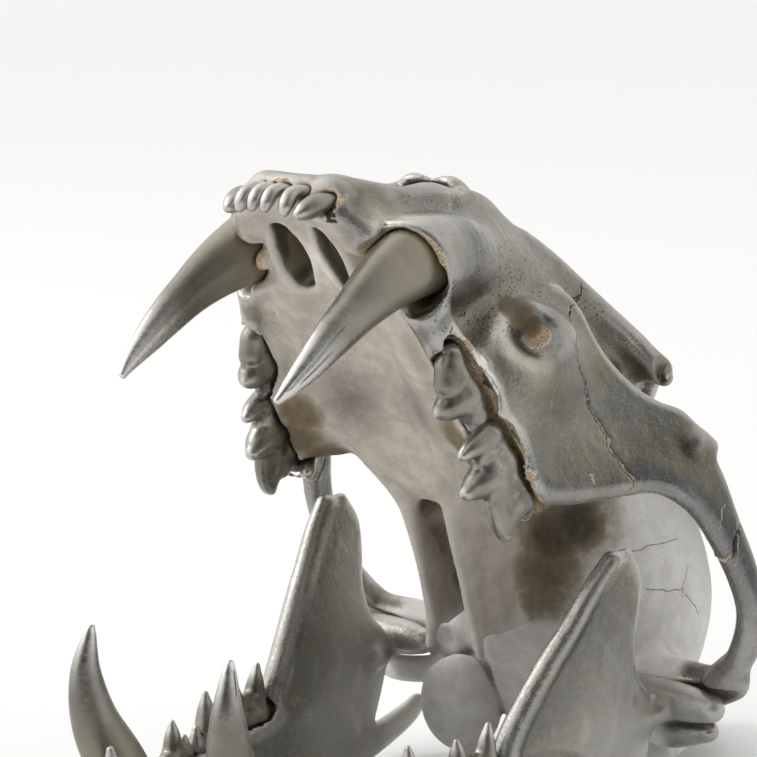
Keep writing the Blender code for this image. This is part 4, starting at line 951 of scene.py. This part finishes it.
def stain_and_shade_share(folded, closed):
    """The stains with painted shade in hollows, and a wider painted shadow on the braincase's wall in front.
    """
    x, y, z = folded.T
    painted_shadow = (1 - smooth_step(120, 148, y + 0.15 * (z - 36))) * smooth_step(92, 102, y)
    painted_shadow *= smooth_step(10, 30, z) * (1 - smooth_step(36, 58, z))
    painted_shadow *= smooth_step(6, 12, x) * (1 - smooth_step(34, 44, x))
    return np.maximum(near_any(folded, STAINS_AND_SHADE) * smooth_step(0.16, 0.32, closed), PAINTED_SHADOW_STRENGTH * painted_shadow)


def pale_and_lit_share(folded):
    """1 on the braincase's sides and under the eye sockets, where the bone is pale; on the braincase the pale
    colour is also painted light.
    """
    x, y, z = folded.T
    case = smooth_step(112, 128, y) * (1 - smooth_step(44, 50, x))
    case *= (1 - 0.85 * smooth_step(48, 68, z)) * (1 - 0.85 * smooth_step(182, 202, y))
    under = smooth_step(60, 70, y) * (1 - smooth_step(36, 40, x)) * (1 - smooth_step(30, 38, z))
    return np.maximum(case, under)


def skull_layers(field, points, faces):
    """Colour layers: zones are stains with painted shade, bare bone and palate, more are pale with painted
    light, pitted and painted shade band.
    """
    normals = normals_of(points, faces)
    folded = np.column_stack([np.abs(points[:, 0]), points[:, 1:]])
    x, y, z = folded.T
    # painted shade along the groove above the arch's lower edge, on outward faces
    shade_band = 1 - smooth_step(1.2, 4.5, off_rods(folded, [SHADE_BAND_LINE]))
    shade_band *= smooth_step(-0.3, 0.2, np.sign(points[:, 0]) * normals[:, 0])
    lines = line_marks(points, normals, LINES)
    seam = cheek_wedge((x, y, z))
    beaded = (np.abs(seam) < 1.6) & (z > 8) & (z < 42) & (x > 36) & (lines[:, 1] == 0)
    lines[beaded] = columns(0.5 + seam[beaded] / (2 * LINE_REACH), SEAM_THREAD, 0)
    stain_and_shade = stain_and_shade_share(folded, crowding(field, points, WIDE_REACH))
    # painted highlight along the cheek bone's lower edge
    ridge_highlight = 1 - smooth_step(0.8, 2.2, off_rods(folded, [HIGHLIGHT_RIDGE]))
    return {"zones": columns(stain_and_shade, bare_share(folded), palate_share(folded, normals)), "lines": lines,
            "relief": relief_of(field, points, ridge_highlight), "tone": columns(painted_light_and_coat_tones(folded), 0, 0),
            "more": columns(pale_and_lit_share(folded), near_any(folded, PITTED), shade_band)}


def bare_share(folded):
    """1 on the strips beside the cheek teeth, the canine and the incisors where bone shows."""
    share = np.zeros(len(folded))
    for name, rods in UPPER_TEETH.items():
        wide = INCISOR_STRIP if name.startswith("incisor") else CHEEK_TOOTH_STRIP
        around = np.flatnonzero((folded[:, 2] < 9) & (folded[:, 1] < 100))
        away = off_rods(folded[around], rods)
        here = 1 - smooth_step(wide - 0.5, wide + 0.5, away + wavy(folded[around, 1], 0.6, 0.9))
        if not name.startswith("incisor"):
            outer = np.interp(folded[around, 1], (46, 62, 76, 90), (31, 34, 36, 38))
            here *= smooth_step(-1.5, 0.5, folded[around, 0] - outer)
        share[around] = np.maximum(share[around], here)
    around = np.flatnonzero((folded[:, 2] < 22) & (folded[:, 1] < 45))
    away = off_rods(folded[around], [[(x, y, z, r * CANINE_ALONG) for x, y, z, r in UPPER_CANINE]])
    share[around] = np.maximum(share[around], 1 - smooth_step(0.35, 0.8, away))
    off_plug = np.linalg.norm(folded - PLUG[:3], axis=1) - PLUG[3]
    return np.maximum(share, 1 - smooth_step(0, 1.2, off_plug))


def jaw_layers(field, points, faces):
    """Colour layers of the lower jaw: pale on the rising branch, silver in front."""
    pale = 0.35 * smooth_step(-70, -35, points[:, 1] - 0.5 * points[:, 2])
    return {"zones": np.zeros_like(points), "relief": relief_of(field, points),
            "lines": line_marks(points, normals_of(points, faces), []),
            "tone": np.full_like(points, 0.5), "more": columns(pale, near_any(points, JAW_PITTED), 0)}


def wavy(values, reach, waves):
    """Small irregular waves along a seam."""
    return sum(reach / k * np.sin(values * waves * k + 1.7 * k) for k in (1, 2.3, 3.9))


def cheek_wedge(grids):
    """Distance out of the space of the cheek bone, negative inside it."""
    x, y, z = grids
    a, b, c, least = CHEEK_SEAM
    front = (least - a * x - b * y - c * z + wavy(y - z, 1.6, 0.42)) / math.sqrt(a * a + b * b + c * c)
    front = np.maximum(front, CHEEK_FRONT - y + wavy(z, 0.4, 0.5))
    slope = math.sqrt(1 + ARCH_SEAM_SLOPE ** 2)
    back = (y - ARCH_SEAM[0] - ARCH_SEAM_SLOPE * (z - ARCH_SEAM[1]) + wavy(z + x, 0.5, 0.5)) / slope
    return np.maximum(np.maximum(front, back), CHEEK_INSIDE - x)


def meshed(field, rounds=2):
    points, faces = surface(field)
    points, faces = largest(points, faces)[:2]
    return relax(points, faces, rounds), faces


def both_sides(name, points, faces, pose, material, layers, node=None):
    """The left piece and its mirror image, which stand for the nodes of that name if there is one."""
    for side, turned in (("left", 1), ("right", -1)):
        nodes = [f"{node}_{side}"] if node else ()
        mirrored = [part[:, ::turned] for part in faces]
        piece(f"{name}_{side}", points * (turned, 1, 1), mirrored, pose, material, layers, nodes)


def build_skull(looks):
    whole = skull_field()
    whole.add(Ball(CANINE_KNOB, KNOB_RADII), 1)
    cut_sockets(whole, UPPER_TEETH, UPPER_CANINE)
    whole.cut(Strap(SOCKET_CRESCENT), 0.8)
    whole = whole.mirrored()
    x, y, z = whole.window(whole.low, whole.low + whole.step * whole.count)[1]
    wedge = cheek_wedge((np.abs(x), y, z)).astype(np.float32)
    uncut = whole.d
    parts = [("cranium", "skull_bone", np.maximum(uncut, SEAM_GAP - wedge))]
    for side, other_side in (("left", x < 0), ("right", x > 0)):
        cheek = np.where(other_side, FAR, np.maximum(uncut, wedge + SEAM_GAP))
        parts.append((f"zygomatic_{side}", f"cheek_bone_{side}", cheek))
    for node, name, distances in parts:
        whole.d = distances.astype(np.float32)
        points, faces = meshed(whole)
        whole.d = uncut
        layers = skull_layers(whole, points, faces)
        strips = layers["zones"][:, 1] * (points[:, 2] < STRIP_TOP) * (points[:, 1] > STRIP_FRONT)
        points = points - STRIP_DEPTH * strips[:, None] * normals_of(points, faces)
        piece(name, points, [faces], skull_pose(), looks["bone"], layers, [node])


def build_jaw(looks):
    field = jaw_field()
    cut_sockets(field, LOWER_TEETH, LOWER_CANINE)
    points, faces = meshed(field)
    layers = jaw_layers(field, points, faces)
    both_sides("jaw_bone", points, [faces], JAW_POSE, looks["bone"], layers, "mandible")


# Teeth

def cut_sockets(field, teeth, canine):
    """Takes room for the teeth out of a bone, a little wider than they are."""
    for name, rods in teeth.items():
        gap = SOCKET_GAP if name.startswith("incisor") else CHEEK_SOCKET_GAP
        for rows in rods:
            field.cut(Rod([(x, y, z, r + gap) for x, y, z, r in rows]), SOCKET_BLEND)
    squeeze = (1 / CANINE_ACROSS, 1 / CANINE_ALONG, 1)
    wider = [(x, y, z, r + CANINE_SOCKET_GAP) for x, y, z, r in canine]
    field.cut(Rod(wider, flat=squeeze), SOCKET_BLEND)


def build_tooth(name, rods, pose, material):
    """A tooth of rods: a fine mesh on the left and its mirror image on the right."""
    shapes = [Rod(rows, steps=8) for rows in rods]
    low = np.min([s.low for s in shapes], axis=0) - TOOTH_MARGIN
    high = np.max([s.high for s in shapes], axis=0) + TOOTH_MARGIN
    field = Field(low, high, TOOTH_STEP)
    for shape in shapes:
        field.add(shape, TOOTH_BLEND)
    points, faces = meshed(field)
    both_sides(name, points, [faces], pose, material, {"relief": relief_of(field, points)})


def swept_canine(rows):
    """A canine as oval rings along its line, with fine grooves down the outer side: its points, its
    four-sided faces, the fans that close its ends, and each point's place along it."""
    line = curve_through(rows, CANINE_RINGS)
    count, sides = len(line), CANINE_SIDES
    turn = 2 * math.pi * np.arange(sides) / sides
    way = np.gradient(line[:, :3], axis=0)
    way /= np.linalg.norm(way, axis=1)[:, None]
    side = np.array([1.0, 0, 0]) - way * way[:, :1]
    side /= np.linalg.norm(side, axis=1)[:, None]
    front = np.cross(way, side)
    radius = line[:, 3:4] * np.ones(sides)
    place = np.linspace(0, 1, count)[:, None]
    for middle, first, last in CANINE_GROOVES:
        off = (turn[None, :] - math.radians(middle) + math.pi) % (2 * math.pi) - math.pi
        length = smooth_step(first, first + GROOVE_END, place)
        length = length * (1 - smooth_step(last - GROOVE_END, last, place))
        radius = radius - GROOVE_DEPTH * length * np.exp(-(off * radius / GROOVE_WIDTH) ** 2)
    points = (line[:, None, :3] + side[:, None] * (CANINE_ACROSS * radius * np.cos(turn))[..., None]
              + front[:, None] * (CANINE_ALONG * radius * np.sin(turn))[..., None]).reshape(-1, 3)
    root, tip = line[0, :3], line[-1, :3] + way[-1] * TIP_LENGTH * line[-1, 3]
    points = np.vstack([points, root, tip])
    here, after = np.arange(sides), (np.arange(sides) + 1) % sides
    rings = np.arange(count - 1)[:, None] * sides
    a, b = (rings + here).ravel(), (rings + after).ravel()
    last, hub = (count - 1) * sides, count * sides
    fans = np.vstack([columns(after, here, hub), columns(last + here, last + after, hub + 1)])
    along = np.concatenate([np.repeat(place.ravel(), sides), (0, 1)])
    return points, [columns(a, b, b + sides, a + sides), fans], along


def build_canine(name, rows, pose, material):
    points, faces, along = swept_canine(rows)
    both_sides(name, points, faces, pose, material, {"along": columns(along, 0, 0)}, name)


# Materials

class Nodes:
    """Short calls for the nodes of one tree."""

    def __init__(self, tree):
        self.tree = tree

    def node(self, kind, **settings):
        made = self.tree.nodes.new(kind)
        for key, value in settings.items():
            setattr(made, key, value)
        return made

    def put(self, socket, value):
        if isinstance(value, bpy.types.NodeSocket):
            self.tree.links.new(value, socket)
        else:
            socket.default_value = value

    def vector(self, operation, first, second, output="Vector"):
        made = self.node("ShaderNodeVectorMath", operation=operation)
        self.put(made.inputs[0], first)
        self.put(made.inputs[1], second)
        return made.outputs[output]

    def math(self, operation, *values):
        made = self.node("ShaderNodeMath", operation=operation)
        for socket, value in zip(made.inputs, values):
            self.put(socket, value)
        return made.outputs[0]

    def plus(self, a, b):
        return self.math("ADD", a, b)

    def minus(self, a, b):
        return self.math("SUBTRACT", a, b)

    def times(self, a, b):
        return self.math("MULTIPLY", a, b)

    def most(self, a, b):
        return self.math("MAXIMUM", a, b)

    def step(self, value, low, high, to_low=0.0, to_high=1.0):
        """A smooth rise from to_low to to_high while value goes from low to high."""
        made = self.node("ShaderNodeMapRange", interpolation_type="SMOOTHSTEP")
        for socket, number in zip(made.inputs, (value, low, high, to_low, to_high)):
            self.put(socket, number)
        return made.outputs[0]


class Shader(Nodes):
    """The nodes of one material, with the object's coordinates in millimetres as its place."""

    def __init__(self, name):
        self.material = bpy.data.materials.new(name)
        self.material.use_nodes = True
        super().__init__(self.material.node_tree)
        self.skin = self.tree.nodes["Principled BSDF"]
        metres = self.node("ShaderNodeTexCoord").outputs["Object"]
        self.place = self.vector("MULTIPLY", metres, (1 / MM,) * 3)

    def pattern(self, kind, output, place=None, **values):
        made = self.node(kind)
        self.put(made.inputs["Vector"], place or self.place)
        for key, value in values.items():
            made.inputs[key].default_value = value
        return made.outputs[output]

    def noise(self, scale, detail=3.0, roughness=0.55, place=None):
        values = {"Scale": scale, "Detail": detail, "Roughness": roughness}
        return self.pattern("ShaderNodeTexNoise", "Fac", place, **values)

    def mix(self, share, first, second, kind="MIX"):
        made = self.node("ShaderNodeMix", data_type="RGBA", blend_type=kind)
        self.put(made.inputs["Factor"], share)
        for socket, value in zip(made.inputs[6:8], (first, second)):
            self.put(socket, value if isinstance(value, bpy.types.NodeSocket) else (*value, 1))
        return made.outputs[2]

    def layer(self, name):
        """The three numbers of a mesh's colour layer."""
        parts = self.node("ShaderNodeSeparateColor")
        self.put(parts.inputs[0], self.node("ShaderNodeAttribute", attribute_name=name).outputs["Color"])
        return parts.outputs

    def finish(self, colour, metallic, roughness, height, depth):
        """Sets the surface, with bumps of height times depth millimetres."""
        bump = self.node("ShaderNodeBump")
        bump.inputs["Strength"].default_value = 1.0
        bump.inputs["Distance"].default_value = depth * MM
        self.put(bump.inputs["Height"], height)
        for name, value in (("Base Color", colour), ("Metallic", metallic), ("Roughness", roughness),
                            ("Normal", bump.outputs["Normal"])):
            self.put(self.skin.inputs[name], value)
        return self.material


def silver_bone():
    s = Shader("silvered bone")
    closed, ridge_highlight, _ = s.layer("relief")
    stain_and_shade, bare, palate = s.layer("zones")
    pale, pitted, shade_band = s.layer("more")
    beside, thin, darkness = s.layer("lines")
    broad, middle = s.noise(0.045, 2), s.noise(0.22, 4)
    small, grain = s.noise(1.3, 5, 0.6), s.noise(5.5, 3)

    # The coat, polished and with painted highlights on edges, and bare pale bone
    cool = s.step(s.plus(s.times(broad, 0.5), s.times(middle, 0.5)), 0.4, 0.6)
    colour = s.mix(cool, SILVER_WARM, SILVER_COOL)
    colour = s.mix(s.step(s.noise(0.5, 5, 0.65), 0.35, 0.75, 0.0, 0.07), colour, POLISH_AND_HIGHLIGHT)
    # painted shade band on the cheek arch
    colour = s.mix(s.times(shade_band, 0.8), colour, SHADE_BAND_COLOUR)
    light = s.step(middle, 0.35, 0.65)
    # pale bone, with painted light on the braincase's side
    colour = s.mix(pale, colour, s.mix(light, PALE_DARK, PALE_LIGHT))
    colour = s.mix(palate, colour, s.mix(light, PALATE_DARK, PALATE_LIGHT))
    # painted highlight with some wear: sharp edges and the ridge go towards polish
    edge = s.most(s.times(s.step(closed, 0.47, 0.36), 0.35), s.times(ridge_highlight, 0.5))
    colour = s.mix(edge, colour, POLISH_AND_HIGHLIGHT)
    # painted light and shade, with uneven coat, from the tone layer
    colour = s.mix(1.0, colour, s.times(s.layer("tone")[0], 2.0), "MULTIPLY")

    # Dirt and painted shade in hollows, pits and scratches
    # painted shade with dirt, darker where the surface is closed in
    creased = s.plus(closed, s.times(s.minus(small, 0.5), 0.22))
    colour = s.mix(s.times(s.step(creased, 0.56, 0.78), 0.75), colour, DIRT_AND_SHADE)
    chosen = s.times(s.step(s.noise(0.16, 2), 0.44, 0.6), s.step(pitted, 0.0, 1.0, 0.12, 1.0))
    pit = s.times(s.step(s.pattern("ShaderNodeTexVoronoi", "Distance", Scale=0.8), 0.30, 0.14), chosen)
    colour = s.mix(s.times(pit, 0.85), colour, DIRT_AND_SHADE)
    stretched = s.vector("MULTIPLY", s.place, (0.5, 4.0, 1.1))
    scratch = s.step(s.noise(0.9, 2, 0.4, stretched), 0.62, 0.68)
    colour = s.mix(s.times(scratch, 0.16), colour, POLISH_AND_HIGHLIGHT)

    # Bare strips, with a painted highlight on the coat's lip beside them
    strip = s.step(bare, 0.4, 0.6)
    colour = s.mix(strip, colour, s.mix(s.step(s.noise(1.6, 5, 0.7), 0.36, 0.64), RAW_DARK, RAW_LIGHT))
    lip_highlight = s.times(s.step(bare, 0.08, 0.3), s.step(bare, 0.45, 0.3))
    colour = s.mix(s.times(lip_highlight, 0.55), colour, POLISH_AND_HIGHLIGHT)

    # Stains, and painted shade and shadow in hollows
    uneven = s.plus(stain_and_shade, s.times(s.minus(s.noise(0.35, 4), 0.5), 0.45))
    uneven = s.times(uneven, s.step(stain_and_shade, 0.02, 0.3))
    colour = s.mix(s.step(uneven, 0.0, 0.6, 0.0, 0.92), colour, OCHRE)
    colour = s.mix(s.step(uneven, 0.5, 1.05), colour, STAIN_CRACK_AND_SHADE)

    # Cracks and pale threads
    off_line = s.math("ABSOLUTE", s.times(s.minus(beside, 0.5), 2 * LINE_REACH))
    ragged = s.times(thin, s.step(s.noise(1.1, 3, 0.6), 0.3, 0.65, 0.25, 1.3))
    off_line = s.minus(off_line, s.times(ragged, LINE_HALF_WIDTH))
    line = s.times(s.step(off_line, 0.06, -0.08), s.step(thin, 0.05, 0.25))
    crack = s.times(line, darkness)
    thread = s.times(line, s.step(darkness, 0.5, 0.1, 0.0, 0.85))
    colour = s.mix(crack, colour, STAIN_CRACK_AND_SHADE)
    colour = s.mix(thread, colour, THREAD)

    matte = s.times(s.most(palate, pale), 0.85)
    dull = s.most(s.most(strip, s.step(uneven, 0.05, 0.5)), s.most(matte, line))
    rough = s.step(dull, 0.0, 1.0, SILVER_ROUGHNESS, BONE_ROUGHNESS)
    rough = s.minus(s.plus(rough, s.step(middle, 0.3, 0.7, -0.05, 0.07)), s.times(edge, 0.08))
    height = s.plus(s.times(small, 0.2), s.times(grain, 0.05))
    height = s.plus(height, s.times(middle, 0.7))
    height = s.minus(height, s.times(s.most(pit, crack), 0.8))
    height = s.plus(height, s.times(thread, 0.6))
    return s.finish(colour, s.step(dull, 0.0, 1.0, SILVER_METALLIC, 0.0), rough, height, BONE_BUMP)


def tooth_coat(name):
    """A material's nodes, and a satin coat's colour, roughness and height."""
    s = Shader(name)
    small = s.noise(0.6, 4)
    colour = s.mix(s.step(s.noise(0.07, 2), 0.35, 0.65), TOOTH_DARK, TOOTH_LIGHT)
    height = s.plus(s.times(small, 0.5), s.times(s.noise(6, 3), 0.08))
    return s, colour, s.step(small, 0.3, 0.7, 0.27, 0.37), height


def silver_tooth():
    """Polish and painted highlight on the cusps, with gold, dirt and painted shade in the creases."""
    s, colour, rough, height = tooth_coat("silvered tooth")
    closed = s.layer("relief")[0]
    # painted highlight and polish on the cusps
    colour = s.mix(s.times(s.step(closed, 0.40, 0.26), 0.55), colour, POLISH_AND_HIGHLIGHT)
    creased = s.plus(closed, s.times(s.minus(s.noise(1.4, 4), 0.5), 0.12))
    golden = s.times(s.step(s.noise(0.33, 4, 0.6), 0.48, 0.66), s.step(creased, 0.38, 0.56))
    colour = s.mix(s.times(golden, 0.55), colour, THREAD)
    colour = s.mix(s.times(s.step(creased, 0.50, 0.64), 0.85), colour, DIRT_AND_SHADE)
    return s.finish(colour, TOOTH_METALLIC, rough, height, TOOTH_BUMP)


def silver_canine():
    """From a dull tan root to a polished tip with a painted highlight."""
    s, colour, rough, height = tooth_coat("silvered canine")
    along = s.layer("along")[0]
    colour = s.mix(s.step(along, 0.62, 0.3), colour, ROOT_COLOUR)
    # polish and painted highlight towards the tip
    colour = s.mix(s.step(along, 0.6, 0.95), colour, POLISH_AND_HIGHLIGHT)
    rough = s.plus(rough, s.step(along, 0.35, 0.9, 0.05, -0.06))
    return s.finish(colour, s.step(along, 0.3, 0.75, 0.8, 0.94), rough, height, TOOTH_BUMP)


# Stage, light and camera

def build_floor():
    bpy.ops.mesh.primitive_circle_add(vertices=96, radius=FLOOR_RADIUS, fill_type="NGON", location=(0, 0, 0))
    floor = bpy.context.object
    floor.name = "floor"
    s = Shader("pale floor")
    s.skin.inputs["Base Color"].default_value = (*FLOOR_COLOUR, 1)
    s.skin.inputs["Roughness"].default_value = FLOOR_ROUGHNESS
    floor.data.materials.append(s.material)


def build_light():
    """A sky that brightens towards the directions in SKY, and the lamps."""
    world = bpy.data.worlds.new("studio")
    bpy.context.scene.world = world
    world.use_nodes = True
    s = Nodes(world.node_tree)
    way = s.node("ShaderNodeTexCoord").outputs["Generated"]
    glow = SKY_BASE
    for direction, low, high, strength in SKY:
        toward = s.vector("DOT_PRODUCT", way, Vector(direction).normalized(), "Value")
        glow = s.plus(s.step(toward, low, high, 0, strength), glow)
    background = s.tree.nodes["Background"]
    background.inputs["Color"].default_value = (*SKY_COLOUR, 1)
    s.put(background.inputs["Strength"], glow)
    for name, place, size, power in LAMPS:
        lamp = bpy.data.lights.new(name, "AREA")
        lamp.shape, lamp.size, lamp.energy = "DISK", size, power
        shown = bpy.data.objects.new(name, lamp)
        bpy.context.scene.collection.objects.link(shown)
        shown.location = place
        shown.rotation_euler = (Vector(LAMP_TARGET) - Vector(place)).to_track_quat("-Z", "Y").to_euler()


def build_camera():
    """The photo's viewpoint, in the skull frame: place, and turn as an axis times an angle."""
    turn = Vector(CAMERA_TURN)
    facing = Matrix.Rotation(turn.length, 4, turn.normalized()).inverted() @ Matrix.Diagonal((1, -1, -1, 1))
    stand = skull_pose() @ Matrix.Translation(CAMERA_PLACE) @ facing
    camera = bpy.data.objects.new("camera", bpy.data.cameras.new("camera"))
    bpy.context.scene.collection.objects.link(camera)
    place = to_world(stand).to_translation()
    camera.matrix_world = Matrix.Translation(place) @ stand.to_quaternion().to_matrix().to_4x4()
    camera.data.sensor_width = CAMERA_SENSOR
    camera.data.lens = CAMERA_LENS
    camera.data.clip_start, camera.data.clip_end = CAMERA_RANGE
    bpy.context.scene.camera = camera
    bpy.context.scene.view_settings.view_transform = "Standard"


looks = {"bone": silver_bone(), "tooth": silver_tooth(), "canine": silver_canine()}
build_skull(looks)
build_jaw(looks)
for name, rods in UPPER_TEETH.items():
    build_tooth(f"upper_{name}", rods, skull_pose(), looks["tooth"])
for name, rods in LOWER_TEETH.items():
    build_tooth(f"lower_{name}", rods, JAW_POSE, looks["tooth"])
build_canine("upper_canine", UPPER_CANINE, skull_pose(), looks["canine"])
build_canine("lower_canine", LOWER_CANINE, JAW_POSE, looks["canine"])
build_floor()
build_light()
build_camera()
